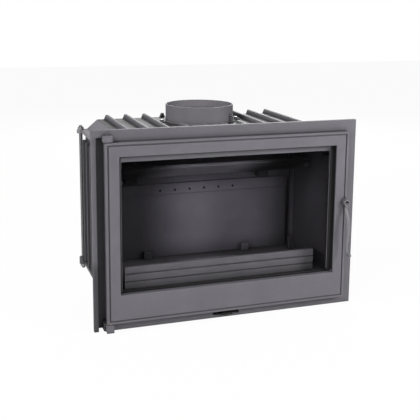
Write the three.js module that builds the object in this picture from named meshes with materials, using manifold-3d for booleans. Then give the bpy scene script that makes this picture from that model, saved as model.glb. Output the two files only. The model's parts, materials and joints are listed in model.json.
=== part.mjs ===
// Cast-iron fireplace insert with a glazed door, a ribbed hood and a flue collar.
// Millimetres. X runs across the front, Y from the front to the back, Z up.
// Sizes and places are measured from the front frame's face and the foot of the ash box.
import * as THREE from 'three';
import { mergeVertices } from 'three/addons/utils/BufferGeometryUtils.js';
import Module from 'manifold-3d';

const wasm = await Module();
wasm.setup();

// ---- Driving sizes ----

// Front frame
const FACADE_WIDTH = 700;
const FACADE_HEIGHT = 502;
const FACADE_THICKNESS = 12;
const SIDE_BORDER = 54; // frame edge to door opening
const TOP_BORDER = 50;
const OPENING_BOTTOM = 73;
const ASH_MOUTH_WIDTH = 244;
const ASH_MOUTH_BOTTOM = 36;
const FACADE_SKIN = 4; // metal left before a blind bolt hole
const CHANNEL_RIM = 11.5; // strip left of the hinge channel
const CHANNEL_LAND = 7; // seal land between channel and opening
const CHANNEL_DEPTH = 24;
const CHANNEL_SKIN = 5;
const CHANNEL_TOP_BORDER = 18;
const CHANNEL_SLIT = 12.5; // open foot of the channel beside the lower hinge

// Door
const DOOR_OVERLAP = 25; // door edge outside the opening
const DOOR_TOP_OVERLAP = 22;
const DOOR_BOTTOM_OVERLAP = 13;
const DOOR_THICKNESS = 18.5;
const DOOR_GAP = 0.5; // door back to frame face
const BEAD_WIDTH = 6;
const GROOVE_WIDTH = 3;
const GROOVE_DEPTH = 2.5;
const WINDOW_SIDE_RAIL = 34.5;
const WINDOW_TOP_RAIL = 35.5;
const WINDOW_BOTTOM_RAIL = 72.5;
const LIP_SIDE = 8.5; // inner lip seen behind the window opening
const LIP_TOP = 16.5;
const LIP_BOTTOM = 2.5;
const LIP_FRONT = 3; // where the lip starts behind the frame face
const LIP_BACK = 8;
const RING_GAP = 2.5; // door's rear ring to the frame opening
const RING_WALL = 5;
const GLASS_THICKNESS = 4;
const GLASS_EDGE_GAP = 0.8;
const GASKET_THICKNESS = 1;
const GASKET_WIDTH = 8;
const RETAINER_THICKNESS = 2.7;
const RETAINER_HEIGHT = 16;
const RETAINER_END = 12; // retainer end to the ring's outer side
const SCREW_RADIUS = 2;
const SCREW_HEAD_RADIUS = 3.6;
const SCREW_HEAD = 2.5;
const SCREW_LENGTH = 8;
const SCREW_SPACING = 400;
const ROPE_WIDTH = 6;
const ROPE_THICKNESS = 4.2;
const ROPE_PROUD = 0.3; // rope face behind the door's back
const DOOR_REAR_GAP = 3; // behind the door's rearmost face

// Hinges
const HINGE_INSET = 8; // door edge to hinge axis
const HINGE_PIN_RADIUS = 4;
const HINGE_PIN_DEPTH = 18; // pin inside the door
const HINGE_BLOCK_WIDTH = 22;
const HINGE_BLOCK_HEIGHT = 15.5;
const LOWER_BLOCK_WIDTH = 18;
const LOWER_BLOCK_HEIGHT = 20.5;
const HINGE_BLOCK_PROUD = 19;
const HINGE_BLOCK_GAP = 1.5; // block to door edge
const WASHER_THICKNESS = 1.2;
const WASHER_RADIUS = 8;
const PIN_HEAD_RADIUS = 6;
const PIN_HEAD = 2;

// Handle and latch
const HANDLE_INSET = 7; // door edge to spindle axis
const HANDLE_HEIGHT = 287;
const HUB_RADIUS = 10;
const HUB_LENGTH = 10;
const BOSS_RADIUS = 11;
const BOSS_LENGTH = 5;
const LEVER_LENGTH = 138;
const LEVER_BOW = 14;
const LEVER_CURL = 34;
const LEVER_RADIUS = 4.4;
const SPINDLE_RADIUS = 4.5;
const CAM_RADIUS = 7.5;
const CAM_LENGTH = 24;
const CAM_THICKNESS = 5;
const CAM_WIDTH = 8;
const CAM_GAP = 0.6; // cam to the back of the frame
const CAM_NUT_RADIUS = 7;
const CAM_NUT_HEIGHT = 5;
const POCKET_GAP = 1; // latch pocket around the cam
const POCKET_COVER = 0.4; // pocket beyond the door's edge

// Firebox
const WALL_SETBACK = 1; // opening edge to wall's inner face
const SIDE_WALL = 7.5;
const FIN_REACH = 15.5;
const FIN_WIDTH = 6;
const SIDE_FIN_PITCH = 51;
const SIDE_FIN_COUNT = 6;
const FIRST_SIDE_FIN = 44;
const FIN_END_GAP = 11;
const BASE_TOP = 74;
const BASE_THICKNESS = 10;
const BASE_MARGIN = 10; // base beyond the side walls' outer face
const WALL_TOP = 441;
const WALL_SETBACK_REAR = 16; // hood's rear edge to the side walls' ends
const REAR_OVERHANG = 7; // hood's rear edge to the rear fins
const REAR_WALL = 7;
const REAR_FIN_REACH = 24;

// Hood
const HOOD_TOP = 476;
const HOOD_SKIN = 7;
const HOOD_DEPTH = 356;
const HOOD_FLANGE = 10;
const HOOD_CHAMFER_INSET = 29;
const RIB_COUNT = 10;
const RIB_PITCH = 53.3;
const RIB_HEIGHT = 12;
const RIB_FOOT = 18;
const RIB_CREST = 8;
const RIB_COLLAR_GAP = 28;
const TAB_WIDTH = 22;
const TAB_THICKNESS = 6;
const TAB_HEIGHT = 20;
const TAB_BAY = 4; // bay between two ribs that holds a bolt tab, counted from the middle

// Flue collar and damper
const COLLAR_RADIUS = 93.6;
const COLLAR_WALL = 3.6;
const COLLAR_RISE = 48; // pipe's rim above the hood
const COLLAR_SETBACK = 100; // hood's rear edge to the flue's axis
const COLLAR_FLANGE = 4;
const COLLAR_FLANGE_RADIUS = 98;
const EAR_LENGTH = 20;
const EAR_WIDTH = 20;
const EAR_ROOT = 4;
const BOLT_RADIUS = 3;
const BOLT_HEAD_RADIUS = 5.7;
const BOLT_HEAD = 3.9;
const DAMPER_RISE = 21; // damper's axis above the hood
const DAMPER_GAP = 3.5;
const DAMPER_THICKNESS = 3;
const DAMPER_SHAFT_RADIUS = 4;
const DAMPER_HUB_RADIUS = 7;
const DAMPER_HUB_LENGTH = 104;
const SHAFT_TIP = 2; // blind end outside the collar
const CRANK_OUT = 12; // crank outside the collar
const CRANK_DROP = 15;
const CRANK_FOOT = 9;
const CRANK_RADIUS = 3;
const DAMPER_ANGLE = -Math.PI / 4;

// Tie rods
const ROD_RADIUS = 5;
const ROD_OUTSET = 11.5; // wall's outer face to rod axis
const ROD_INSET = 11; // hood's rear edge to rod axis
const LUG_RADIUS = 11;
const ROD_TIP = 5;
const NUT_HEIGHT = 7;
const NUT_ACROSS = 9;

// Linings and fire bed
const LINER_THICKNESS = 6;
const LINER_GAP = 1;
const SIDE_LINER_FRONT = 34;
const AIR_DUCT = 35; // rear wall to the back of the rear lining
const LINER_TOP = 404;
const HEARTH_LEVEL = 84;
const BACK_LINER_MARGIN = 16; // wall to back liner end
const RAIL_BOTTOM = 268;
const RAIL_HEIGHT = 30;
const RAIL_PROUD = 3;
const RAIL_HOLE_COUNT = 6;
const RAIL_HOLE_PITCH = 43.5;
const RAIL_HOLE_RADIUS = 3.5;
const RAIL_HOLE_RISE = 11;
const STOP_OFFSET = 147;
const STOP_WIDTH = 23;
const STOP_HEIGHT = 22;
const STOP_REACH = 14;
const CORNER_STOP_WIDTH = 16;
const CORNER_STOP_HEIGHT = 36;
const CORNER_STOP_DEPTH = 12;
const CORNER_STOP_SETBACK = 28;
const HOOK_INSET = 86; // rear lining's end to a hook's middle
const HOOK_WIDTH = 34;
const HOOK_HEIGHT = 17;
const HOOK_REACH = 24;
const HOOK_LEVEL = 306;
const BAFFLE_THICKNESS = 8;
const BAFFLE_RISE = 50;
const BAFFLE_RUN = 150;
const BAFFLE_SEAT = 26; // level rear strip on the hooks
const BAFFLE_SIDE_GAP = 4;
const PEG_RADIUS = 6;
const PEG_REACH = 12;
const PEG_DISTANCE = 120; // baffle's rear edge to the pegs
const GRATE_WIDTH = 220;
const GRATE_DEPTH = 160;
const GRATE_FRONT = 76;
const GRATE_LEDGE = 6;
const GRATE_RIM = 14;
const GRATE_BARS = 11;
const GRATE_GAP = 1;
const GUARD_WIDTH = 524;
const GUARD_FRONT = 50;
const GUARD_THICKNESS = 10;
const GUARD_TOP = 142;
const GUARD_GROOVE = 3;
const GUARD_BANDS = [0.33, 0.68];
const BRACKET_WIDTH = 16;
const BRACKET_DEPTH = 22;
const BRACKET_HEIGHT = 44;
const BRACKET_TOP = 6;
const BRACKET_INSET = 20;

// Ash box, pan and air slider
const ASH_BOX_WALL = 5;
const ASH_BOX_DEPTH = 262;
const PAN_CLEARANCE = 3;
const PAN_WALL = 2;
const PAN_HEAD = 3; // air space over the pan
const PAN_GRIP = 60;
const PAN_GRIP_REACH = 8;
const PAN_GRIP_THICKNESS = 6;
const PAN_RAIL_WIDTH = 12;
const PAN_RISE = 1; // pan floor above the mouth's sill
const SLIDER_LENGTH = 226;
const SLIDER_HEIGHT = 22;
const SLIDER_THICKNESS = 3;
const SLIDER_LEVEL = 3;
const SLIDER_GAP = 0.5;
const TAB_CENTRE = -7;
const AIR_TAB_WIDTH = 27;
const AIR_TAB_THICKNESS = 5;
const AIR_TAB_LEVEL = 9;
const AIR_TAB_PROUD = 9;
const SLIDER_TRAVEL = 20;
const AIR_SLOT_GAP = 1.5;
const GUIDE_LENGTH = 30;
const GUIDE_WALL = 4;
const GUIDE_SPACING = 150;
const AIR_HOLE_RADIUS = 7;
const AIR_HOLE_LEVEL = 17;
const AIR_HOLE_COUNT = 4;
const AIR_HOLE_PITCH = 44;

// Fits
const RUNNING_FIT = 0.06;
const LOOSE_FIT = 0.4;
const SEAT_GAP = 0.3;
const BLIND_GAP = 1; // blind hole beyond its pin or screw
const ROUND = 32;

// ---- Sizes that follow ----

const halfWidth = FACADE_WIDTH / 2;
const openingHalf = halfWidth - SIDE_BORDER;
const openingTop = FACADE_HEIGHT - TOP_BORDER;
const doorHalf = openingHalf + DOOR_OVERLAP;
const doorTop = openingTop + DOOR_TOP_OVERLAP;
const doorBottom = ASH_MOUTH_BOTTOM - DOOR_BOTTOM_OVERLAP;
const doorBack = -DOOR_GAP;
const doorFront = doorBack - DOOR_THICKNESS;
const windowHalf = doorHalf - WINDOW_SIDE_RAIL;
const windowTop = doorTop - WINDOW_TOP_RAIL;
const windowBottom = doorBottom + WINDOW_BOTTOM_RAIL;
const ringHalf = openingHalf - RING_GAP;
const ringTop = openingTop - RING_GAP;
const ringBottom = OPENING_BOTTOM + RING_GAP;
const glassFront = LIP_BACK + GASKET_THICKNESS;
const glassBack = glassFront + GLASS_THICKNESS;
const glassHalf = ringHalf - RING_WALL - GLASS_EDGE_GAP;
const glassTop = ringTop - RING_WALL - GLASS_EDGE_GAP;
const glassBottom = ringBottom + RING_WALL + GLASS_EDGE_GAP;
const hingeX = -doorHalf + HINGE_INSET;
const hingeY = doorBack - DOOR_THICKNESS / 2;
const channelLeft = -halfWidth + CHANNEL_RIM;
const channelRight = -openingHalf - CHANNEL_LAND;
const channelTop = FACADE_HEIGHT - CHANNEL_TOP_BORDER;
const troughBack = CHANNEL_DEPTH + CHANNEL_SKIN;
const troughLeft = channelLeft - CHANNEL_SKIN;
const troughTop = channelTop + CHANNEL_SKIN;
const lowerBlockTop = doorBottom - HINGE_BLOCK_GAP;
const upperBlockBottom = doorTop + HINGE_BLOCK_GAP;
const spindleX = doorHalf - HANDLE_INSET;
const camFront = FACADE_THICKNESS + CAM_GAP;
const doorReach = glassBack + RETAINER_THICKNESS + SCREW_HEAD; // door's rearmost face
const clearOfDoor = doorReach + DOOR_REAR_GAP;
const wallInner = openingHalf + WALL_SETBACK;
const wallOuter = wallInner + SIDE_WALL;
const finOuter = wallOuter + FIN_REACH;
const finFoot = BASE_TOP + FIN_END_GAP;
const finTop = WALL_TOP - FIN_END_GAP;
const baseHalf = wallOuter + BASE_MARGIN;
const baseBottom = BASE_TOP - BASE_THICKNESS;
const bodyFront = FACADE_THICKNESS;
const wallBack = HOOD_DEPTH - WALL_SETBACK_REAR;
const rearPlane = HOOD_DEPTH - REAR_OVERHANG - REAR_FIN_REACH - REAR_WALL;
const linerPlane = rearPlane - AIR_DUCT - LINER_THICKNESS;
const collarY = HOOD_DEPTH - COLLAR_SETBACK;
const collarBore = COLLAR_RADIUS - COLLAR_WALL;
const collarTop = HOOD_TOP + COLLAR_RISE;
const damperLevel = HOOD_TOP + DAMPER_RISE;
const flangeTop = WALL_TOP + HOOD_FLANGE;
const hoodFlat = wallInner - HOOD_CHAMFER_INSET;
const rodX = wallOuter + ROD_OUTSET;
const rodY = HOOD_DEPTH - ROD_INSET;
const linerInner = wallInner - LINER_GAP - LINER_THICKNESS;
const backLinerHalf = wallInner - BACK_LINER_MARGIN;
const hookX = backLinerHalf - HOOK_INSET;
const railTop = RAIL_BOTTOM + RAIL_HEIGHT;
const baffleRear = linerPlane - SEAT_GAP;
const baffleRearLevel = HOOK_LEVEL + HOOK_HEIGHT + SEAT_GAP;
const baffleSlope = BAFFLE_RISE / (BAFFLE_RUN - BAFFLE_SEAT);
const baffleUpright = BAFFLE_THICKNESS * Math.hypot(1, baffleSlope); // thickness measured along Z
const ashHalf = ASH_MOUTH_WIDTH / 2;
const sliderFront = FACADE_THICKNESS + SLIDER_GAP;
const sliderBack = sliderFront + SLIDER_THICKNESS;
const guideBack = sliderBack + SLIDER_GAP + GUIDE_WALL;
const ashBoxFront = guideBack + SLIDER_GAP;
const ashBoxBack = ashBoxFront + ASH_BOX_DEPTH;
const restCentre = (ashBoxFront + ashBoxBack) / 2;

// ---- Solids ----

// A closed three.js geometry as a solid for the booleans.
function solid(geometry) {
  const bare = geometry.clone();
  bare.deleteAttribute('normal');
  bare.deleteAttribute('uv');
  const merged = mergeVertices(bare, 1e-4);
  return new wasm.Manifold(new wasm.Mesh({
    numProp: 3,
    vertProperties: merged.getAttribute('position').array,
    triVerts: new Uint32Array(merged.index.array),
  }));
}

function box(x0, x1, y0, y1, z0, z1) {
  const geometry = new THREE.BoxGeometry(x1 - x0, y1 - y0, z1 - z0);
  geometry.translate((x0 + x1) / 2, (y0 + y1) / 2, (z0 + z1) / 2);
  return solid(geometry);
}

// A box on both sides of the middle plane.
function wideBox(half, y0, y1, z0, z1) {
  return box(-half, half, y0, y1, z0, z1);
}

function rodAlongZ(x, y, radius, z0, z1, sides = ROUND) {
  const geometry = new THREE.CylinderGeometry(radius, radius, z1 - z0, sides);
  geometry.rotateX(Math.PI / 2);
  geometry.translate(x, y, (z0 + z1) / 2);
  return solid(geometry);
}

function rodAlongY(x, z, radius, y0, y1, sides = ROUND) {
  const geometry = new THREE.CylinderGeometry(radius, radius, y1 - y0, sides);
  geometry.translate(x, (y0 + y1) / 2, z);
  return solid(geometry);
}

function rodAlongX(y, z, radius, x0, x1, sides = ROUND) {
  const geometry = new THREE.CylinderGeometry(radius, radius, x1 - x0, sides);
  geometry.rotateZ(Math.PI / 2);
  geometry.translate((x0 + x1) / 2, y, z);
  return solid(geometry);
}

function shapeOf(points) {
  return new THREE.Shape(points.map(([a, b]) => new THREE.Vector2(a, b)));
}

// An outline in X and Z carried along Y.
function prismAlongY(points, y0, y1) {
  const geometry = new THREE.ExtrudeGeometry(shapeOf(points), { depth: y1 - y0, bevelEnabled: false });
  geometry.rotateX(Math.PI / 2);
  geometry.translate(0, y1, 0);
  return solid(geometry);
}

// An outline in Y and Z carried along X.
function prismAlongX(points, x0, x1) {
  const geometry = new THREE.ExtrudeGeometry(shapeOf(points), { depth: x1 - x0, bevelEnabled: false });
  geometry.rotateX(Math.PI / 2);
  geometry.rotateZ(Math.PI / 2);
  geometry.translate(x0, 0, 0);
  return solid(geometry);
}

// An outline in X and Y carried along Z.
function prismAlongZ(points, z0, z1) {
  const geometry = new THREE.ExtrudeGeometry(shapeOf(points), { depth: z1 - z0, bevelEnabled: false });
  geometry.translate(0, 0, z0);
  return solid(geometry);
}

// A round bar that follows the points.
function bar(points, radius, steps, sides = 12) {
  const path = new THREE.CatmullRomCurve3(points.map((p) => new THREE.Vector3(...p)), false, 'centripetal');
  const circle = new THREE.Shape();
  circle.absarc(0, 0, radius, 0, 2 * Math.PI, false);
  return solid(new THREE.ExtrudeGeometry(circle, {
    steps,
    curveSegments: sides,
    extrudePath: path,
  }));
}

function joined(first, ...others) {
  return others.reduce((sum, next) => sum.add(next), first);
}

function cutBy(first, ...others) {
  return others.reduce((rest, next) => rest.subtract(next), first);
}

// ---- Finishes ----

const FINISHES = {
  iron: { color: 0x6c6c71, roughness: 0.72, metalness: 0.35 },
  liner: { color: 0x4b4b50, roughness: 0.85, metalness: 0.25 },
  steel: { color: 0x77777b, roughness: 0.5, metalness: 0.85 },
  zinc: { color: 0x8d8d90, roughness: 0.42, metalness: 0.9 },
  brass: { color: 0xa58a4c, roughness: 0.4, metalness: 0.9 },
  rope: { color: 0x2f2f31, roughness: 0.95, metalness: 0 },
  glass: { color: 0x2a2c2e, roughness: 0.06, metalness: 0 },
};

function named(name, shape, finish) {
  const data = shape.getMesh();
  const geometry = new THREE.BufferGeometry();
  geometry.setAttribute('position', new THREE.BufferAttribute(new Float32Array(data.vertProperties), 3));
  geometry.setIndex(new THREE.BufferAttribute(new Uint32Array(data.triVerts), 1));
  geometry.computeVertexNormals();
  const material = new THREE.MeshStandardMaterial({ ...FINISHES[finish], flatShading: true });
  if (finish === 'glass') {
    material.transparent = true;
    material.opacity = 0.35;
  }
  const mesh = new THREE.Mesh(geometry, material);
  mesh.name = name;
  return mesh;
}

function group(name, ...members) {
  const made = new THREE.Group();
  made.name = name;
  made.add(...members);
  return made;
}

// ---- Front frame ----

const tabX = TAB_BAY * RIB_PITCH;
const upperBoltLevel = HOOD_TOP + TAB_HEIGHT / 2;
const lowerBoltLevel = baseBottom - TAB_HEIGHT / 2;

function facadeFrame() {
  const plate = wideBox(halfWidth, 0, FACADE_THICKNESS, 0, FACADE_HEIGHT);
  const trough = box(troughLeft, -openingHalf, FACADE_THICKNESS, troughBack, 0, troughTop);
  const channel = box(channelLeft, channelRight, -1, CHANNEL_DEPTH, lowerBlockTop, channelTop);
  const slit = box(channelLeft, channelLeft + CHANNEL_SLIT, -1, CHANNEL_DEPTH, -1, lowerBlockTop);
  const opening = wideBox(openingHalf, -1, FACADE_THICKNESS + 1, OPENING_BOTTOM, openingTop);
  const mouth = wideBox(ashHalf, -1, FACADE_THICKNESS + 1, ASH_MOUTH_BOTTOM, OPENING_BOTTOM);
  const reach = CAM_RADIUS + POCKET_GAP;
  const pocketRight = Math.min(spindleX + CAM_RADIUS, doorHalf) + POCKET_COVER;
  const pocket = box(spindleX - reach, pocketRight, -1, FACADE_THICKNESS + 1,
    HANDLE_HEIGHT - reach, HANDLE_HEIGHT + CAM_LENGTH + 2 * POCKET_GAP);
  const slotHalf = AIR_TAB_WIDTH / 2 + SLIDER_TRAVEL + AIR_SLOT_GAP;
  const slot = box(TAB_CENTRE - slotHalf, TAB_CENTRE + slotHalf, -1, FACADE_THICKNESS + 1,
    AIR_TAB_LEVEL - AIR_SLOT_GAP, AIR_TAB_LEVEL + AIR_TAB_THICKNESS + AIR_SLOT_GAP);
  const holes = facadeBoltPlaces().map(([x, z]) =>
    rodAlongY(x, z, BOLT_RADIUS + RUNNING_FIT, FACADE_SKIN, FACADE_THICKNESS + 1, 16));
  return cutBy(plate.add(trough), channel, slit, opening, mouth, pocket, slot, ...holes);
}

function facadeBoltPlaces() {
  return [-1, 1].flatMap((side) => [[side * tabX, upperBoltLevel], [side * tabX, lowerBoltLevel]]);
}

// A hexagon-headed bolt along +Y, its head's back at the end.
function boltAlongY(length) {
  const shank = rodAlongY(0, 0, BOLT_RADIUS, 0, length, 16);
  const head = rodAlongY(0, 0, BOLT_HEAD_RADIUS, length, length + BOLT_HEAD, 6);
  return shank.add(head);
}

function facadeBolts() {
  const start = FACADE_SKIN + SEAT_GAP;
  const length = bodyFront + SEAT_GAP + TAB_THICKNESS - start;
  return facadeBoltPlaces().map(([x, z], index) => {
    const bolt = named(`facade_bolt_${index + 1}`, boltAlongY(length), 'zinc');
    bolt.position.set(x, start, z);
    return bolt;
  });
}

// ---- Hinges ----

function hingeBlock(width, z0, z1) {
  const left = hingeX - width / 2;
  const block = box(left, left + width, -HINGE_BLOCK_PROUD, 0, z0, z1);
  return block.subtract(rodAlongZ(hingeX, hingeY, HINGE_PIN_RADIUS + RUNNING_FIT, z0 - 1, z1 + 1));
}

function hingeParts() {
  const lowerFoot = lowerBlockTop - LOWER_BLOCK_HEIGHT;
  const upperTop = upperBlockBottom + HINGE_BLOCK_HEIGHT;
  const upperPin = rodAlongZ(hingeX, hingeY, HINGE_PIN_RADIUS, doorTop - HINGE_PIN_DEPTH, upperTop)
    .add(rodAlongZ(hingeX, hingeY, PIN_HEAD_RADIUS, upperTop, upperTop + PIN_HEAD));
  const lowerPin = rodAlongZ(hingeX, hingeY, HINGE_PIN_RADIUS, lowerFoot, doorBottom + HINGE_PIN_DEPTH);
  const washer = rodAlongZ(hingeX, hingeY, WASHER_RADIUS, lowerBlockTop, lowerBlockTop + WASHER_THICKNESS)
    .subtract(rodAlongZ(hingeX, hingeY, HINGE_PIN_RADIUS + RUNNING_FIT, lowerBlockTop - 1, doorBottom));
  return [
    named('hinge_bracket_upper', hingeBlock(HINGE_BLOCK_WIDTH, upperBlockBottom, upperTop), 'iron'),
    named('hinge_bracket_lower', hingeBlock(LOWER_BLOCK_WIDTH, lowerFoot, lowerBlockTop), 'iron'),
    named('hinge_pin_upper', upperPin, 'steel'),
    named('hinge_pin_lower', lowerPin, 'steel'),
    named('hinge_washer', washer, 'brass'),
  ];
}

// ---- Door ----

function ring(outer, inner, y0, y1) {
  const body = box(-outer.half, outer.half, y0, y1, outer.bottom, outer.top);
  return body.subtract(box(-inner.half, inner.half, y0 - 1, y1 + 1, inner.bottom, inner.top));
}

function inset(frame, side, top = side, bottom = side) {
  return { half: frame.half - side, top: frame.top - top, bottom: frame.bottom + bottom };
}

const doorOutline = { half: doorHalf, top: doorTop, bottom: doorBottom };
const windowOutline = { half: windowHalf, top: windowTop, bottom: windowBottom };
const ringOutline = { half: ringHalf, top: ringTop, bottom: ringBottom };
const lipOutline = inset(windowOutline, LIP_SIDE, LIP_TOP, LIP_BOTTOM);
const ropeInner = {
  half: openingHalf + SEAT_GAP,
  top: openingTop + SEAT_GAP,
  bottom: ASH_MOUTH_BOTTOM - SEAT_GAP,
};
const retainerScrewX = SCREW_SPACING / 2;
const upperScrewLevel = ringTop - RING_WALL / 2;
const lowerScrewLevel = ringBottom + RING_WALL / 2;

function retainerScrewPlaces() {
  return [upperScrewLevel, lowerScrewLevel].flatMap((z) => [[-retainerScrewX, z], [retainerScrewX, z]]);
}

function doorFrame() {
  const grooveFloor = doorFront + GROOVE_DEPTH;
  const plate = ring(doorOutline, windowOutline, grooveFloor, doorBack);
  const bead = ring(doorOutline, inset(doorOutline, BEAD_WIDTH), doorFront, grooveFloor);
  const face = ring(inset(doorOutline, BEAD_WIDTH + GROOVE_WIDTH), windowOutline, doorFront, grooveFloor);
  const tunnel = ring(ringOutline, windowOutline, doorBack, LIP_FRONT);
  const lip = ring(ringOutline, lipOutline, LIP_FRONT, LIP_BACK);
  const rim = ring(ringOutline, inset(ringOutline, RING_WALL), LIP_BACK, glassBack);
  const boss = rodAlongY(spindleX, HANDLE_HEIGHT, BOSS_RADIUS, doorFront - BOSS_LENGTH, doorBack);
  const ropeOuter = inset(ropeInner, -ROPE_WIDTH - LOOSE_FIT);
  const ropeGroove = ring(ropeOuter, ropeInner, doorBack - ROPE_THICKNESS, doorBack + 1);
  const pinBore = HINGE_PIN_RADIUS + RUNNING_FIT;
  const topPin = rodAlongZ(hingeX, hingeY, pinBore, doorTop - HINGE_PIN_DEPTH - BLIND_GAP, doorTop + 1);
  const footPin = rodAlongZ(
    hingeX, hingeY, pinBore, doorBottom - 1, doorBottom + HINGE_PIN_DEPTH + BLIND_GAP);
  const bore = rodAlongY(
    spindleX, HANDLE_HEIGHT, SPINDLE_RADIUS + RUNNING_FIT, doorFront - BOSS_LENGTH - 1, doorBack + 1);
  const tappedFront = glassBack + RETAINER_THICKNESS - SCREW_LENGTH - BLIND_GAP;
  const tapped = retainerScrewPlaces().map(([x, z]) =>
    rodAlongY(x, z, SCREW_RADIUS + RUNNING_FIT, tappedFront, glassBack + 1, 16));
  const body = joined(plate, bead, face, tunnel, lip, rim, boss);
  return cutBy(body, ropeGroove, topPin, footPin, bore, ...tapped);
}

function doorRope() {
  const outer = inset(ropeInner, -ROPE_WIDTH);
  return ring(outer, inset(ropeInner, -LOOSE_FIT), doorBack - ROPE_THICKNESS + RUNNING_FIT, -ROPE_PROUD);
}

function glassParts() {
  const glass = wideBox(glassHalf, glassFront, glassBack, glassBottom, glassTop);
  const glassOutline = { half: glassHalf, top: glassTop, bottom: glassBottom };
  const gasket = ring(glassOutline, inset(glassOutline, GASKET_WIDTH), LIP_BACK, glassFront);
  const retainerBack = glassBack + RETAINER_THICKNESS;
  const half = ringHalf - RETAINER_END;
  const holes = retainerScrewPlaces().map(([x, z]) =>
    rodAlongY(x, z, SCREW_RADIUS + RUNNING_FIT, glassBack - 1, retainerBack + 1, 16));
  const top = cutBy(wideBox(half, glassBack, retainerBack, ringTop - RETAINER_HEIGHT, ringTop), ...holes);
  const bottomStrip = wideBox(half, glassBack, retainerBack, ringBottom, ringBottom + RETAINER_HEIGHT);
  const bottom = cutBy(bottomStrip, ...holes);
  const screw = rodAlongY(0, 0, SCREW_RADIUS, -SCREW_LENGTH, 0, 16)
    .add(rodAlongY(0, 0, SCREW_HEAD_RADIUS, 0, SCREW_HEAD, 16));
  const screws = retainerScrewPlaces().map(([x, z], index) => {
    const placed = named(`retainer_screw_${index + 1}`, screw, 'zinc');
    placed.position.set(x, retainerBack, z);
    return placed;
  });
  return [
    named('door_glass', glass, 'glass'),
    named('glass_gasket', gasket, 'rope'),
    named('glass_retainer_top', top, 'steel'),
    named('glass_retainer_bottom', bottom, 'steel'),
    ...screws,
  ];
}

// ---- Handle and latch, built about the spindle's axis ----

function handleGroup() {
  const hubBack = doorFront - BOSS_LENGTH - SEAT_GAP;
  const hubFront = hubBack - HUB_LENGTH;
  const reach = hubFront + LEVER_RADIUS;
  const lever = bar([
    [0, hubBack - HUB_LENGTH / 2, 0],
    [0, reach, -LEVER_LENGTH * 0.1],
    [0, reach - LEVER_BOW * 0.75, -LEVER_LENGTH * 0.28],
    [0, reach - LEVER_BOW, -LEVER_LENGTH * 0.5],
    [0, reach - LEVER_BOW * 0.7, -LEVER_LENGTH * 0.74],
    [0, reach - LEVER_BOW * 0.6, -LEVER_LENGTH * 0.88],
    [0, reach - LEVER_CURL * 0.6, -LEVER_LENGTH],
    [0, reach - LEVER_CURL, -LEVER_LENGTH * 0.95],
  ], LEVER_RADIUS, 30, 6);
  const hub = rodAlongY(0, 0, HUB_RADIUS, hubFront, hubBack);
  const hole = rodAlongY(0, 0, SPINDLE_RADIUS + RUNNING_FIT, hubFront - HUB_LENGTH, hubBack + 1);
  const camBack = camFront + CAM_THICKNESS;
  const spindle = rodAlongY(0, 0, SPINDLE_RADIUS, hubFront + 1, camBack + CAM_NUT_HEIGHT);
  const camBlank = rodAlongY(0, 0, CAM_RADIUS, camFront, camBack)
    .add(box(-CAM_WIDTH / 2, CAM_WIDTH / 2, camFront, camBack, 0, CAM_LENGTH));
  const cam = camBlank.subtract(rodAlongY(0, 0, SPINDLE_RADIUS + RUNNING_FIT, camFront - 1, camBack + 1));
  const nut = rodAlongY(0, 0, CAM_NUT_RADIUS, camBack, camBack + CAM_NUT_HEIGHT, 6)
    .subtract(rodAlongY(0, 0, SPINDLE_RADIUS + RUNNING_FIT, camBack - 1, camBack + CAM_NUT_HEIGHT + 1));
  const made = group('handle',
    named('handle_lever', cutBy(lever.add(hub), hole), 'steel'),
    named('handle_spindle', spindle, 'zinc'),
    named('latch_cam', cam, 'steel'),
    named('cam_nut', nut, 'zinc'));
  made.position.set(spindleX, 0, HANDLE_HEIGHT);
  return made;
}

// ---- Firebox shell ----

// Keeps a body piece clear of the frame's hinge trough.
function clearOfTrough(shape) {
  return shape.subtract(box(-halfWidth, -openingHalf, 0, troughBack + SEAT_GAP, -1, troughTop + SEAT_GAP));
}

function sideWall(side) {
  const [x0, x1] = side < 0 ? [-wallOuter, -wallInner] : [wallInner, wallOuter];
  const [f0, f1] = side < 0 ? [-finOuter, -wallOuter + 1] : [wallOuter - 1, finOuter];
  const plate = box(x0, x1, bodyFront, wallBack, BASE_TOP, WALL_TOP);
  const fins = Array.from({ length: SIDE_FIN_COUNT }, (_, index) => {
    const y = FIRST_SIDE_FIN + index * SIDE_FIN_PITCH;
    return box(f0, f1, y - FIN_WIDTH / 2, y + FIN_WIDTH / 2, finFoot, finTop);
  });
  return clearOfTrough(joined(plate, ...fins));
}

function ribPlaces() {
  return Array.from({ length: RIB_COUNT }, (_, index) => (index - (RIB_COUNT - 1) / 2) * RIB_PITCH);
}

function rearWall() {
  const back = rearPlane + REAR_WALL;
  const plate = wideBox(wallInner, rearPlane, back, BASE_TOP, WALL_TOP);
  const fins = ribPlaces().map((x) =>
    box(x - FIN_WIDTH / 2, x + FIN_WIDTH / 2, back - 1, back + REAR_FIN_REACH, finFoot, finTop));
  return joined(plate, ...fins);
}

function rodLug(side, z0, z1) {
  const x = side * rodX;
  const inner = side * (wallOuter + SEAT_GAP);
  return box(Math.min(x, inner), Math.max(x, inner), rodY - LUG_RADIUS, rodY + LUG_RADIUS, z0, z1)
    .add(rodAlongZ(x, rodY, LUG_RADIUS, z0, z1, 24));
}

function rodHole(side) {
  return rodAlongZ(side * rodX, rodY, ROD_RADIUS + LOOSE_FIT, 0, FACADE_HEIGHT, 24);
}

function boltTab(side, front, z0, z1) {
  const left = side * tabX - TAB_WIDTH / 2;
  return box(left, left + TAB_WIDTH, front, bodyFront + SEAT_GAP + TAB_THICKNESS, z0, z1);
}

function tabHole(side, level) {
  const front = bodyFront - 1;
  return rodAlongY(side * tabX, level, BOLT_RADIUS + LOOSE_FIT, front, front + TAB_THICKNESS + 3, 16);
}

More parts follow.
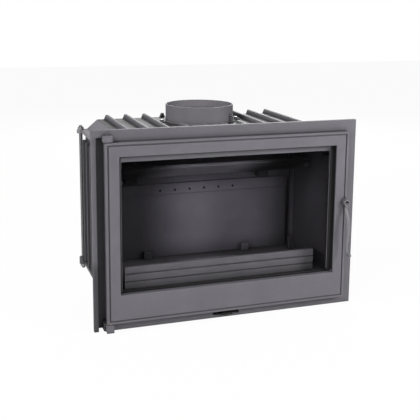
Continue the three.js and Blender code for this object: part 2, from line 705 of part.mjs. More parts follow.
function grateOpening(shrink, z0, z1) {
  return box(-GRATE_WIDTH / 2 + shrink, GRATE_WIDTH / 2 - shrink,
    GRATE_FRONT + shrink, GRATE_FRONT + GRATE_DEPTH - shrink, z0, z1);
}

function baseCasting() {
  const floor = wideBox(baseHalf, bodyFront, HOOD_DEPTH, baseBottom, BASE_TOP);
  const hearthBack = rearPlane - SEAT_GAP;
  const hearth = wideBox(linerInner - SEAT_GAP, clearOfDoor, hearthBack, BASE_TOP, HEARTH_LEVEL);
  const lugs = [-1, 1].map((side) => rodLug(side, baseBottom, HEARTH_LEVEL));
  const tabFoot = baseBottom - TAB_HEIGHT;
  const tabs = [-1, 1].map((side) => boltTab(side, bodyFront + SEAT_GAP, tabFoot, baseBottom));
  const boltHoles = [-1, 1].map((side) => tabHole(side, lowerBoltLevel));
  const body = joined(floor, hearth, ...lugs, ...tabs);
  return clearOfTrough(cutBy(body, grateOpening(GRATE_LEDGE, baseBottom - 1, HEARTH_LEVEL + 1),
    grateOpening(0, BASE_TOP, HEARTH_LEVEL + 1), ...[-1, 1].map(rodHole), ...boltHoles));
}

function grate() {
  const top = HEARTH_LEVEL;
  const body = grateOpening(GRATE_GAP, BASE_TOP, top);
  const pitch = (GRATE_WIDTH - 2 * GRATE_GAP) / GRATE_BARS;
  const slotBack = GRATE_FRONT + GRATE_DEPTH - GRATE_RIM;
  const slots = Array.from({ length: GRATE_BARS - 1 }, (_, index) => {
    const x = (index - (GRATE_BARS - 2) / 2) * pitch;
    return box(x - pitch / 4, x + pitch / 4, GRATE_FRONT + GRATE_RIM, slotBack, BASE_TOP - 1, top + 1);
  });
  return cutBy(body, ...slots);
}

// ---- Hood ----

// The hood's cross-section, moved inwards by the drop. At the corners of its chamfer,
// which lean by an eighth of a turn, the inner line runs in by the drop's tangent share.
function hoodOutline(drop, foot) {
  const side = wallInner - drop;
  const corner = drop * Math.tan(Math.PI / 8);
  const shoulder = hoodFlat - corner;
  const top = HOOD_TOP - drop;
  return [
    [-side, foot], [side, foot], [side, flangeTop - corner],
    [shoulder, top], [-shoulder, top], [-side, flangeTop - corner],
  ];
}

function rib(x) {
  return prismAlongY([
    [x - RIB_FOOT / 2, HOOD_TOP - 1], [x + RIB_FOOT / 2, HOOD_TOP - 1],
    [x + RIB_CREST / 2, HOOD_TOP + RIB_HEIGHT], [x - RIB_CREST / 2, HOOD_TOP + RIB_HEIGHT],
  ], bodyFront, HOOD_DEPTH);
}

function collarEar(side, z0, z1) {
  const inner = COLLAR_FLANGE_RADIUS - EAR_ROOT;
  const outer = COLLAR_FLANGE_RADIUS + EAR_LENGTH;
  const [a, b] = side < 0 ? [-outer, -inner] : [inner, outer];
  return box(a, b, collarY - EAR_WIDTH / 2, collarY + EAR_WIDTH / 2, z0, z1);
}

const earBoltX = COLLAR_FLANGE_RADIUS + EAR_LENGTH / 2;

function hood() {
  const innerBack = HOOD_DEPTH - HOOD_SKIN;
  const shell = prismAlongY(hoodOutline(0, WALL_TOP), bodyFront, HOOD_DEPTH)
    .subtract(prismAlongY(hoodOutline(HOOD_SKIN, WALL_TOP - 1), bodyFront - 1, innerBack));
  const flange = wideBox(baseHalf, bodyFront, HOOD_DEPTH, WALL_TOP, flangeTop)
    .subtract(wideBox(wallInner - HOOD_SKIN, bodyFront - 1, innerBack, WALL_TOP - 1, flangeTop + 1));
  const lugs = [-1, 1].map((side) => rodLug(side, WALL_TOP, flangeTop));
  const clear = rodAlongZ(0, collarY, COLLAR_RADIUS + RIB_COLLAR_GAP, HOOD_TOP, collarTop, 48);
  const ribs = ribPlaces().map((x) => rib(x).subtract(clear));
  const tabs = [-1, 1].map((side) => boltTab(side, bodyFront, HOOD_TOP - 1, HOOD_TOP + TAB_HEIGHT));
  const boltHoles = [-1, 1].map((side) => tabHole(side, upperBoltLevel));
  const under = HOOD_TOP - HOOD_SKIN - 1;
  const earHoles = [-1, 1].map((side) =>
    rodAlongZ(side * earBoltX, collarY, BOLT_RADIUS + RUNNING_FIT, under, HOOD_TOP + 1, 16));
  const flue = rodAlongZ(0, collarY, collarBore, under, HOOD_TOP + 1, 64);
  const doorSpace = wideBox(openingHalf, bodyFront - 1, clearOfDoor, WALL_TOP - 1, openingTop);
  const body = joined(shell, flange, ...lugs, ...ribs, ...tabs).subtract(doorSpace);
  return clearOfTrough(cutBy(body, flue, ...earHoles, ...boltHoles, ...[-1, 1].map(rodHole)));
}

// ---- Flue collar and damper ----

function flueCollar() {
  const pipe = rodAlongZ(0, collarY, COLLAR_RADIUS, HOOD_TOP, collarTop, 64);
  const flange = rodAlongZ(0, collarY, COLLAR_FLANGE_RADIUS, HOOD_TOP, HOOD_TOP + COLLAR_FLANGE, 64);
  const ears = [-1, 1].map((side) => collarEar(side, HOOD_TOP, HOOD_TOP + COLLAR_FLANGE));
  const bore = rodAlongZ(0, collarY, collarBore, HOOD_TOP - 1, collarTop + 1, 64);
  const flangeFace = HOOD_TOP + COLLAR_FLANGE;
  const holes = [-1, 1].map((side) =>
    rodAlongZ(side * earBoltX, collarY, BOLT_RADIUS + LOOSE_FIT, HOOD_TOP - 1, flangeFace + 1, 16));
  const axleRadius = DAMPER_SHAFT_RADIUS + RUNNING_FIT;
  const axle = solid(new THREE.CylinderGeometry(axleRadius, axleRadius, 3 * COLLAR_RADIUS, ROUND)
    .rotateZ(Math.PI / 2)
    .rotateZ(DAMPER_ANGLE)
    .translate(0, collarY, damperLevel));
  return cutBy(joined(pipe, flange, ...ears), bore, axle, ...holes);
}

function collarBolts() {
  const shank = HOOD_SKIN + COLLAR_FLANGE - 1;
  return [['left', -1], ['right', 1]].map(([name, side]) => {
    const shape = rodAlongZ(0, 0, BOLT_RADIUS, -shank, 0, 16)
      .add(rodAlongZ(0, 0, BOLT_HEAD_RADIUS, 0, BOLT_HEAD, 6));
    const bolt = named(`collar_bolt_${name}`, shape, 'zinc');
    bolt.position.set(side * earBoltX, collarY, HOOD_TOP + COLLAR_FLANGE);
    return bolt;
  });
}

// Built with the shaft along X through the collar's centre, then turned about the flue.
function damperGroup() {
  const discRadius = collarBore - DAMPER_GAP;
  const shaftEnd = COLLAR_RADIUS + CRANK_OUT;
  const disc = rodAlongZ(0, 0, discRadius, -DAMPER_THICKNESS / 2, DAMPER_THICKNESS / 2, 64);
  const hub = rodAlongX(0, 0, DAMPER_HUB_RADIUS, -DAMPER_HUB_LENGTH / 2, DAMPER_HUB_LENGTH / 2, 24);
  const bore = rodAlongX(0, 0, DAMPER_SHAFT_RADIUS + RUNNING_FIT, -COLLAR_RADIUS, COLLAR_RADIUS);
  const slim = rodAlongX(0, 0, DAMPER_SHAFT_RADIUS, -COLLAR_RADIUS - SHAFT_TIP, shaftEnd);
  const crank = bar([
    [shaftEnd - CRANK_RADIUS, 0, 0],
    [shaftEnd - CRANK_RADIUS + 1, 0, -CRANK_DROP * 0.6],
    [shaftEnd + CRANK_FOOT * 0.4, 0, -CRANK_DROP],
    [shaftEnd + CRANK_FOOT, 0, -CRANK_DROP * 0.8],
  ], CRANK_RADIUS, 12, 6);
  const plate = slottedDisc(disc.add(hub), bore, discRadius);
  const made = group('damper',
    named('damper_plate', plate, 'iron'),
    named('damper_shaft', slim.add(crank), 'steel'));
  made.position.set(0, collarY, damperLevel);
  made.rotation.z = DAMPER_ANGLE;
  return made;
}

// The shaft is thicker than the disc, so beyond the hub the disc is slotted for it.
function slottedDisc(blank, bore, discRadius) {
  const slotHalf = DAMPER_SHAFT_RADIUS + LOOSE_FIT;
  const hubEnd = DAMPER_HUB_LENGTH / 2;
  const slots = [[-discRadius - 1, -hubEnd], [hubEnd, discRadius + 1]].map(([a, b]) =>
    box(a, b, -slotHalf, slotHalf, -slotHalf, slotHalf));
  return cutBy(blank, bore, ...slots);
}

// ---- Tie rods ----

function tieRods() {
  const top = flangeTop + NUT_HEIGHT + ROD_TIP;
  const foot = baseBottom - NUT_HEIGHT - ROD_TIP;
  return [['left', -1], ['right', 1]].flatMap(([name, side]) => {
    const rod = named(`tie_rod_${name}`, rodAlongZ(0, 0, ROD_RADIUS, foot, top, 24), 'steel');
    rod.position.set(side * rodX, rodY, 0);
    const nuts = [['upper', flangeTop], ['lower', baseBottom - NUT_HEIGHT]].map(([level, z]) => {
      const shape = rodAlongZ(0, 0, NUT_ACROSS, 0, NUT_HEIGHT, 6)
        .subtract(rodAlongZ(0, 0, ROD_RADIUS + RUNNING_FIT, -1, NUT_HEIGHT + 1, 24));
      const nut = named(`tie_nut_${level}_${name}`, shape, 'zinc');
      nut.position.set(side * rodX, rodY, z);
      return nut;
    });
    return [rod, ...nuts];
  });
}

// ---- Linings ----

function sideLiner(side) {
  const a = side * linerInner;
  const b = side * (linerInner + LINER_THICKNESS);
  const back = linerPlane + LINER_THICKNESS;
  const plate = box(Math.min(a, b), Math.max(a, b), SIDE_LINER_FRONT, back, BASE_TOP, LINER_TOP);
  const inner = side * (linerInner - CORNER_STOP_WIDTH);
  const stopBack = linerPlane - CORNER_STOP_SETBACK;
  const stop = box(Math.min(inner, b), Math.max(inner, b), stopBack - CORNER_STOP_DEPTH, stopBack,
    HEARTH_LEVEL, HEARTH_LEVEL + CORNER_STOP_HEIGHT);
  const [p0, p1] = side < 0 ? [a - 1, a + PEG_REACH] : [a - PEG_REACH, a + 1];
  const peg = rodAlongX(pegPlace().y, pegPlace().z, PEG_RADIUS, p0, p1, 20);
  return joined(plate, stop, peg);
}

// The two pegs that carry the front of the baffle.
function pegPlace() {
  const underside = baffleRearLevel + baffleSlope * (PEG_DISTANCE - BAFFLE_SEAT);
  return {
    y: baffleRear - PEG_DISTANCE,
    z: underside - (PEG_RADIUS + SEAT_GAP) * Math.hypot(1, baffleSlope),
  };
}

function backLiners() {
  const back = linerPlane + LINER_THICKNESS;
  const stops = [-1, 1].map((side) => {
    const left = side * STOP_OFFSET - STOP_WIDTH / 2;
    return box(left, left + STOP_WIDTH, linerPlane - STOP_REACH, linerPlane + 1,
      HEARTH_LEVEL, HEARTH_LEVEL + STOP_HEIGHT);
  });
  const lower = joined(wideBox(backLinerHalf, linerPlane, back, HEARTH_LEVEL, RAIL_BOTTOM), ...stops);
  const railFront = linerPlane - RAIL_PROUD;
  const railBack = back + RAIL_PROUD;
  const railHoles = Array.from({ length: RAIL_HOLE_COUNT }, (_, index) => {
    const x = (index - (RAIL_HOLE_COUNT - 1) / 2) * RAIL_HOLE_PITCH;
    return rodAlongY(x, RAIL_BOTTOM + RAIL_HOLE_RISE, RAIL_HOLE_RADIUS, railFront - 1, railBack + 1, 16);
  });
  const rail = cutBy(wideBox(backLinerHalf, railFront, railBack, RAIL_BOTTOM, railTop), ...railHoles);
  const upper = wideBox(backLinerHalf, linerPlane, back, railTop, LINER_TOP);
  return [
    named('back_liner_lower', lower, 'liner'),
    named('air_rail', rail, 'liner'),
    named('back_liner_upper', upper, 'liner'),
  ];
}

function baffleHook(side) {
  const x0 = side * hookX - HOOK_WIDTH / 2;
  const x1 = x0 + HOOK_WIDTH;
  return box(x0, x1, linerPlane - HOOK_REACH, linerPlane, HOOK_LEVEL, HOOK_LEVEL + HOOK_HEIGHT);
}

function baffle() {
  const front = baffleRear - BAFFLE_RUN;
  const bend = baffleRear - BAFFLE_SEAT;
  const frontLevel = baffleRearLevel + BAFFLE_RISE;
  const half = linerInner - BAFFLE_SIDE_GAP;
  return prismAlongX([
    [front, frontLevel],
    [bend, baffleRearLevel],
    [baffleRear, baffleRearLevel],
    [baffleRear, baffleRearLevel + baffleUpright],
    [bend, baffleRearLevel + baffleUpright],
    [front, frontLevel + baffleUpright],
  ], -half, half);
}

// ---- Log guard ----

function logGuard() {
  const back = GUARD_FRONT + GUARD_THICKNESS;
  const foot = HEARTH_LEVEL;
  const height = GUARD_TOP - foot;
  const grooves = GUARD_BANDS.map((share) => {
    const top = GUARD_TOP - share * height + GUARD_GROOVE / 2;
    return wideBox(GUARD_WIDTH / 2 + 1, GUARD_FRONT - 1, GUARD_FRONT + GUARD_GROOVE, top - GUARD_GROOVE, top);
  });
  return cutBy(wideBox(GUARD_WIDTH / 2, GUARD_FRONT, back, foot, GUARD_TOP), ...grooves);
}

function guardBracket(side) {
  const y0 = GUARD_FRONT + GUARD_THICKNESS;
  const x1 = side * (GUARD_WIDTH / 2 - BRACKET_INSET);
  const x0 = x1 - side * BRACKET_WIDTH;
  const top = HEARTH_LEVEL + BRACKET_HEIGHT;
  const foot = HEARTH_LEVEL;
  const outline = [[y0, foot], [y0 + BRACKET_DEPTH, foot], [y0 + BRACKET_TOP, top], [y0, top]];
  return prismAlongX(outline, Math.min(x0, x1), Math.max(x0, x1));
}

// ---- Ash box, pan and air slider ----

function ashBox() {
  const outer = ashHalf + ASH_BOX_WALL;
  const shell = wideBox(outer, ashBoxFront, ashBoxBack, 0, baseBottom);
  const inFront = ashBoxFront + ASH_BOX_WALL;
  const cavity = wideBox(ashHalf, inFront, ashBoxBack - ASH_BOX_WALL, ASH_BOX_WALL, baseBottom + 1);
  const mouth = wideBox(ashHalf, ashBoxFront - 1, inFront + 1, ASH_MOUTH_BOTTOM, baseBottom + 1);
  const holes = airHolePlaces().map((x) =>
    rodAlongY(x, AIR_HOLE_LEVEL, AIR_HOLE_RADIUS, ashBoxFront - 1, inFront + 1, 20));
  return cutBy(shell, cavity, mouth, ...holes);
}

function airHolePlaces() {
  const first = -(AIR_HOLE_COUNT - 1) / 2;
  return Array.from({ length: AIR_HOLE_COUNT }, (_, index) => (first + index) * AIR_HOLE_PITCH);
}

function ashPan() {
  const half = ashHalf - PAN_CLEARANCE;
  const front = ashBoxFront + ASH_BOX_WALL / 2;
  const back = ashBoxBack - ASH_BOX_WALL - PAN_CLEARANCE;
  const foot = ASH_MOUTH_BOTTOM + PAN_RISE;
  const top = baseBottom - PAN_HEAD;
  const tray = wideBox(half, front, back, foot, top)
    .subtract(wideBox(half - PAN_WALL, front + PAN_WALL, back - PAN_WALL, foot + PAN_WALL, top + 1));
  return tray.add(wideBox(PAN_GRIP / 2, front - PAN_GRIP_REACH, front + 1, top - PAN_GRIP_THICKNESS, top));
}

function panRail(side) {
  const x1 = side * ashHalf;
  const x0 = x1 - side * PAN_RAIL_WIDTH;
  return box(Math.min(x0, x1), Math.max(x0, x1), ashBoxFront + ASH_BOX_WALL, ashBoxBack - ASH_BOX_WALL,
    ASH_BOX_WALL, ASH_MOUTH_BOTTOM + PAN_RISE);
}

function airSlider() {
  const half = SLIDER_LENGTH / 2;
  const plate = box(TAB_CENTRE - half, TAB_CENTRE + half, sliderFront, sliderBack,
    SLIDER_LEVEL, SLIDER_LEVEL + SLIDER_HEIGHT);
  const tabLeft = TAB_CENTRE - AIR_TAB_WIDTH / 2;
  const tab = box(tabLeft, tabLeft + AIR_TAB_WIDTH, -AIR_TAB_PROUD, sliderFront + 1,
    AIR_TAB_LEVEL, AIR_TAB_LEVEL + AIR_TAB_THICKNESS);
  const holes = airHolePlaces().map((x) =>
    rodAlongY(x, AIR_HOLE_LEVEL, AIR_HOLE_RADIUS, FACADE_THICKNESS, sliderBack + 1, 20));
  return cutBy(plate.add(tab), ...holes);
}

function sliderGuide(side) {
  const x = TAB_CENTRE + side * GUIDE_SPACING / 2;
  const wide = SLIDER_GAP + GUIDE_WALL;
  const body = box(x - GUIDE_LENGTH / 2, x + GUIDE_LENGTH / 2, FACADE_THICKNESS, guideBack,
    SLIDER_LEVEL - SLIDER_GAP, SLIDER_LEVEL + SLIDER_HEIGHT + wide);
  return body.subtract(box(x - GUIDE_LENGTH, x + GUIDE_LENGTH, FACADE_THICKNESS - 1, sliderBack + SLIDER_GAP,
    SLIDER_LEVEL - SLIDER_GAP - 1, SLIDER_LEVEL + SLIDER_HEIGHT + SLIDER_GAP));
}

// ---- Assembly ----

const door = group('door',
  named('door_frame', doorFrame(), 'iron'),
  named('door_rope', doorRope(), 'rope'),
  ...glassParts(),
  handleGroup());

const shell = group('shell',
  named('facade_frame', facadeFrame(), 'iron'),
  ...facadeBolts(),
  ...hingeParts(),
  named('side_wall_left', sideWall(-1), 'iron'),
  named('side_wall_right', sideWall(1), 'iron'),
  named('rear_wall', rearWall(), 'iron'),
  named('base_casting', baseCasting(), 'iron'),
  named('hood_plate', hood(), 'iron'),
  named('flue_collar', flueCollar(), 'iron'),
  ...collarBolts(),
  ...tieRods());

const fireBed = group('fire_bed',
  named('side_liner_left', sideLiner(-1), 'liner'),
  named('side_liner_right', sideLiner(1), 'liner'),
  ...backLiners(),
  named('baffle_hook_left', baffleHook(-1), 'liner'),
  named('baffle_hook_right', baffleHook(1), 'liner'),
  named('baffle_plate', baffle(), 'liner'),
  named('grate', grate(), 'liner'),
  named('log_guard', logGuard(), 'liner'),
  named('guard_bracket_left', guardBracket(-1), 'liner'),
  named('guard_bracket_right', guardBracket(1), 'liner'));

const ashParts = group('ash_and_air',
  named('ash_box', joined(ashBox(), panRail(-1), panRail(1)), 'iron'),
  named('ash_pan', ashPan(), 'steel'),
  named('air_slider', airSlider(), 'steel'),
  named('slider_guide_left', sliderGuide(-1), 'steel'),
  named('slider_guide_right', sliderGuide(1), 'steel'));

// The part's origin is the middle of the ash box's foot, on which the insert stands.
const insert = group('fireplace_insert', shell, fireBed, ashParts, damperGroup(), door);
insert.position.y = -restCentre;

export default insert;
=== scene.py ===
"""Looks of a cast-iron fireplace insert with a glazed door, a ribbed hood and a flue collar.

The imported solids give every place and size. Castings are softened copies of their solids, and
the door, the latch lever, the ropes and the tie rods are surfaces worked out here.
"""

import json
import logging
import math
from dataclasses import dataclass, field
from enum import Enum

import bmesh
import bpy
import numpy as np
from mathutils import Matrix, Vector


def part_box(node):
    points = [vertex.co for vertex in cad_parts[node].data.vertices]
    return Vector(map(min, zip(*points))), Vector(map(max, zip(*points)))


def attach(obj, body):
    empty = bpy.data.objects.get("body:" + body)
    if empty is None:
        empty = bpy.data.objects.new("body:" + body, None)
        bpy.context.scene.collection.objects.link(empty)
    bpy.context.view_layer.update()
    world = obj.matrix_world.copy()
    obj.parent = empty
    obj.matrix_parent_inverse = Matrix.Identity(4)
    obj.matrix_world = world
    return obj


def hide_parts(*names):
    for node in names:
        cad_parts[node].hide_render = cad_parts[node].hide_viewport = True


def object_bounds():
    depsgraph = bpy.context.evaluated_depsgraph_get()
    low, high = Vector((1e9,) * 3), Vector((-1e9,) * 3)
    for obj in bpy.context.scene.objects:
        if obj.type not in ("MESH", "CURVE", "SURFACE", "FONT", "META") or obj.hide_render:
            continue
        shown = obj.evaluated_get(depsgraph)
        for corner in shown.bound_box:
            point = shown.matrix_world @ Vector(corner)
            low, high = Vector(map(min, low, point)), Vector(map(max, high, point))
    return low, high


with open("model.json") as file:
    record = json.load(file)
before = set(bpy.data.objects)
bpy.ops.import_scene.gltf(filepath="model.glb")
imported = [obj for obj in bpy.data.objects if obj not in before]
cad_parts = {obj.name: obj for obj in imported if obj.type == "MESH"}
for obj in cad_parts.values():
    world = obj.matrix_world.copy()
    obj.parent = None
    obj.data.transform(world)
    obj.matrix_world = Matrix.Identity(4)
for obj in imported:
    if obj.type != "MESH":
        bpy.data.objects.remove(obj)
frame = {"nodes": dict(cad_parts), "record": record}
CAD_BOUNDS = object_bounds()

MM = 0.001
WHITE = (1.0, 1.0, 1.0, 1.0)

# The door's window, and where its reveal starts along Y. The door and its paint share them.
WINDOW_HALF = 286.5 * MM
WINDOW_BOTTOM = 95.5 * MM
WINDOW_TOP = 438.5 * MM
REVEAL_FRONT = -167 * MM

# How meshes are cleaned: points merged, and the angles that tell a flat from an edge.
GRID_MERGE = 0.001 * MM
SOLID_MERGE = 0.002 * MM
FLAT_ANGLE = math.radians(0.6)
EDGE_ANGLE = math.radians(32)
NORMAL_WEIGHT = 60

Socket = bpy.types.NodeSocket
log = logging.getLogger("fireplace_insert")


# ---- Node graphs and finishes ----


class Graph:
    """A short way to add and join the nodes of one material."""

    # A Mix node repeats its socket names for each kind of data, so those for colours go by number.
    MIX_SHARE, MIX_FIRST, MIX_SECOND, MIX_RESULT = 0, 6, 7, 2

    def __init__(self, name: str) -> None:
        """Starts an empty material.

        Args:
            name: Name of the material.
        """
        self.material = bpy.data.materials.new(name)
        self.material.use_nodes = True
        self.tree = self.material.node_tree
        self.tree.nodes.clear()
        self.output = self.tree.nodes.new("ShaderNodeOutputMaterial")

    def add(self, kind: str, inputs: dict | None = None, **settings: object) -> bpy.types.Node:
        """Adds a node, sets its options and fills its sockets.

        Args:
            kind: Blender's name of the node type, without "ShaderNode".
            inputs: Socket name or number to a value, or to an output socket that is linked.
            **settings: The node's own options.

        Returns:
            The new node.
        """
        node = self.tree.nodes.new(f"ShaderNode{kind}")
        for option, value in settings.items():
            setattr(node, option, value)
        for socket, value in (inputs or {}).items():
            if isinstance(value, Socket):
                self.tree.links.new(value, node.inputs[socket])
            else:
                node.inputs[socket].default_value = value
        return node

    def math(self, operation: str, first: object, second: object = 0.0, clamp: bool = True) -> Socket:
        """Returns the output of a Math node on two numbers or sockets, kept from 0 to 1 if clamped."""
        node = self.add("Math", {0: first, 1: second}, operation=operation, use_clamp=clamp)
        return node.outputs[0]

    def product(self, first: object, second: object) -> Socket:
        """Returns the product of two numbers or sockets, kept from 0 to 1."""
        return self.math("MULTIPLY", first, second)

    def rest(self, share: object) -> Socket:
        """Returns what a share leaves of 1."""
        return self.math("SUBTRACT", 1.0, share)

    def larger(self, first: object, second: object) -> Socket:
        """Returns the larger of two shares."""
        return self.math("MAXIMUM", first, second)

    def beyond(self, value: Socket, limit: object) -> Socket:
        """Returns 1 where a value is above its limit, and 0 elsewhere."""
        return self.math("GREATER_THAN", value, limit)

    def short_of(self, value: Socket, limit: object) -> Socket:
        """Returns 1 where a value is below its limit, and 0 elsewhere."""
        return self.math("LESS_THAN", value, limit)

    def apart(self, value: Socket, middle: float = 0.0) -> Socket:
        """Returns how far a value lies from a middle, on either side."""
        return self.math("ABSOLUTE", self.math("SUBTRACT", value, middle, clamp=False), clamp=False)

    def place(self) -> tuple[Socket, Socket, Socket]:
        """Returns the sockets of a point's X, Y and Z on the insert, in metres."""
        return tuple(self.add("SeparateXYZ", {0: self.add("TexCoord").outputs["Object"]}).outputs)

    def ramp(
        self, value: Socket, start: float, end: float, low: float = 0.0, high: float = 1.0,
        smooth: bool = False,
    ) -> Socket:
        """A value carried from one range to another, and kept inside it.

        Args:
            value: The value's socket.
            start: Value that becomes the low result.
            end: Value that becomes the high result.
            low: Result at the start.
            high: Result at the end.
            smooth: Whether the change eases in and out.

        Returns:
            The result's socket.
        """
        ranges = {"From Min": start, "From Max": end, "To Min": low, "To Max": high}
        kind = "SMOOTHSTEP" if smooth else "LINEAR"
        return self.add("MapRange", {"Value": value, **ranges}, interpolation_type=kind).outputs[0]

    def noise(self, size: float, detail: float, stretch: tuple = (1, 1, 1)) -> Socket:
        """Noise on the piece's own coordinates.

        Args:
            size: Size of one blotch, in metres.
            detail: Octaves of finer noise on top.
            stretch: Scale of the pattern along X, Y and Z.

        Returns:
            The noise's value socket.
        """
        place = self.add("TexCoord").outputs["Object"]
        mapped = self.add("Mapping", {"Vector": place, "Scale": stretch}).outputs[0]
        made = self.add("TexNoise", {"Vector": mapped, "Scale": 1 / size, "Detail": detail})
        return made.outputs[0]

    def blend(self, share: object, first: object, second: object) -> Socket:
        """Returns the mix of two colours, given the share of the second one."""
        inputs = {self.MIX_SHARE: share, self.MIX_FIRST: first, self.MIX_SECOND: second}
        return self.add("Mix", inputs, data_type="RGBA").outputs[self.MIX_RESULT]

    def bump(self, height: Socket, depth: float, over: Socket | None = None) -> Socket:
        """Relief from a height.

        Args:
            height: Socket of the height, from 0 to 1.
            depth: Depth of the relief, in metres.
            over: Normal socket of other relief that this one is added to.

        Returns:
            The normal's socket.
        """
        node = self.add("Bump", {"Height": height, "Distance": depth, "Strength": 1.0})
        if over is not None:
            self.tree.links.new(over, node.inputs["Normal"])
        return node.outputs[0]

    def edge_mask(self, radius: float, strength: float) -> Socket:
        """A mask of the convex and concave edges, where a rounded normal leaves the true one.

        Args:
            radius: Width of the edge band, in metres.
            strength: Gain of the mask.

        Returns:
            A socket that is 0 on flats and up to 1 on edges.
        """
        rounded = self.add("Bevel", {"Radius": radius}, samples=4).outputs[0]
        true = self.add("NewGeometry").outputs["True Normal"]
        same = self.add("VectorMath", {0: rounded, 1: true}, operation="DOT_PRODUCT").outputs["Value"]
        return self.product(self.rest(same), strength)

    def recess(self, reach: float) -> Socket:
        """Returns an ambient-occlusion mask of the corners and gaps within a reach in metres, near 1 deep
        in a gap; it is used to paint shade.
        """
        open_share = self.add("AmbientOcclusion", {"Distance": reach}, samples=8).outputs["AO"]
        return self.rest(open_share)

    def close(self, shader: bpy.types.Node) -> bpy.types.Material:
        """Joins the shader to the output and returns the material."""
        self.tree.links.new(shader.outputs[0], self.output.inputs["Surface"])
        return self.material


def rgba(colour: tuple, tone: float = 1.0) -> tuple:
    """Returns a colour with its alpha, made lighter or darker by its tone."""
    return tuple(min(1.0, part * tone) for part in colour) + (1.0,)


@dataclass(frozen=True)
class CastPaint:
    """Matte stove paint on sand-cast iron: sand grain, soft hollows, painted shade in corners, worn edges
    with painted highlight.

    A tone is the gain on the paint's own colour in a layer.
    """

    name: str
    colour: tuple = (0.121, 0.116, 0.131)
    roughness: float = 0.58
    gloss_below: float = 0.07
    gloss_above: float = 0.09
    specular: float = 0.42
    blotch: float = 55 * MM
    mottle: float = 0.16
    grain: float = 0.9 * MM
    grain_depth: float = 0.09 * MM
    speck_from: float = 0.45
    speck_gain: float = 1.6
    speck_tone: float = 1.25
    hollow: float = 9 * MM
    hollow_depth: float = 0.16 * MM
    # Lighter edges, partly wear and partly painted highlight: amount, band width, gain and tone.
    wear_and_glint: float = 0.45
    wear_and_glint_band: float = 1.6 * MM
    wear_and_glint_gain: float = 2.2
    wear_and_glint_tone: float = 2.1
    # Painted shade: reaches and gains of the darkening in corners and in narrow gaps, and its tone.
    corner: float = 22 * MM
    corner_shade: float = 1.15
    crevice: float = 5 * MM
    crevice_shade: float = 1.45
    shade_tone: float = 0.1

    def material(self) -> bpy.types.Material:
        """Builds the paint's nodes.

        Returns:
            The finished material.
        """
        graph = Graph(self.name)
        cloud = graph.noise(self.blotch, detail=5.0)
        fine = graph.noise(self.grain, detail=3.0)
        hollows = graph.noise(self.hollow, detail=2.0)
        darker, lighter = rgba(self.colour, 1 - self.mottle), rgba(self.colour, 1 + self.mottle)
        colour = graph.blend(cloud, darker, lighter)
        speck = graph.product(graph.math("SUBTRACT", fine, self.speck_from), self.speck_gain)
        colour = graph.blend(speck, colour, rgba(self.colour, self.speck_tone))
        # Lighter edges: partly paint worn off, partly a painted highlight.
        worn_and_glinting = graph.product(graph.edge_mask(self.wear_and_glint_band, self.wear_and_glint_gain * self.wear_and_glint), hollows)
        colour = graph.blend(worn_and_glinting, colour, rgba(self.colour, self.wear_and_glint_tone))
        colour = self.layer(graph, colour, cloud)
        # Painted shade: ambient occlusion darkens corners, grooves and gaps.
        painted_shade = graph.product(graph.recess(self.corner), self.corner_shade)
        gap_shade = graph.product(graph.recess(self.crevice), self.crevice_shade)
        colour = graph.blend(graph.larger(painted_shade, gap_shade), colour, rgba(self.colour, self.shade_tone))
        relief = graph.bump(hollows, self.hollow_depth, over=graph.bump(fine, self.grain_depth))
        matte, shiny = self.roughness + self.gloss_above, self.roughness - self.gloss_below
        return graph.close(graph.add("BsdfPrincipled", {
            "Base Color": colour,
            "Roughness": graph.ramp(cloud, 0.0, 1.0, shiny, matte),
            "Specular IOR Level": self.specular,
            "Normal": relief,
        }))

    def layer(self, graph: Graph, colour: Socket, cloud: Socket) -> Socket:
        """Returns the colour as it is: plain paint carries no further layer."""
        return colour


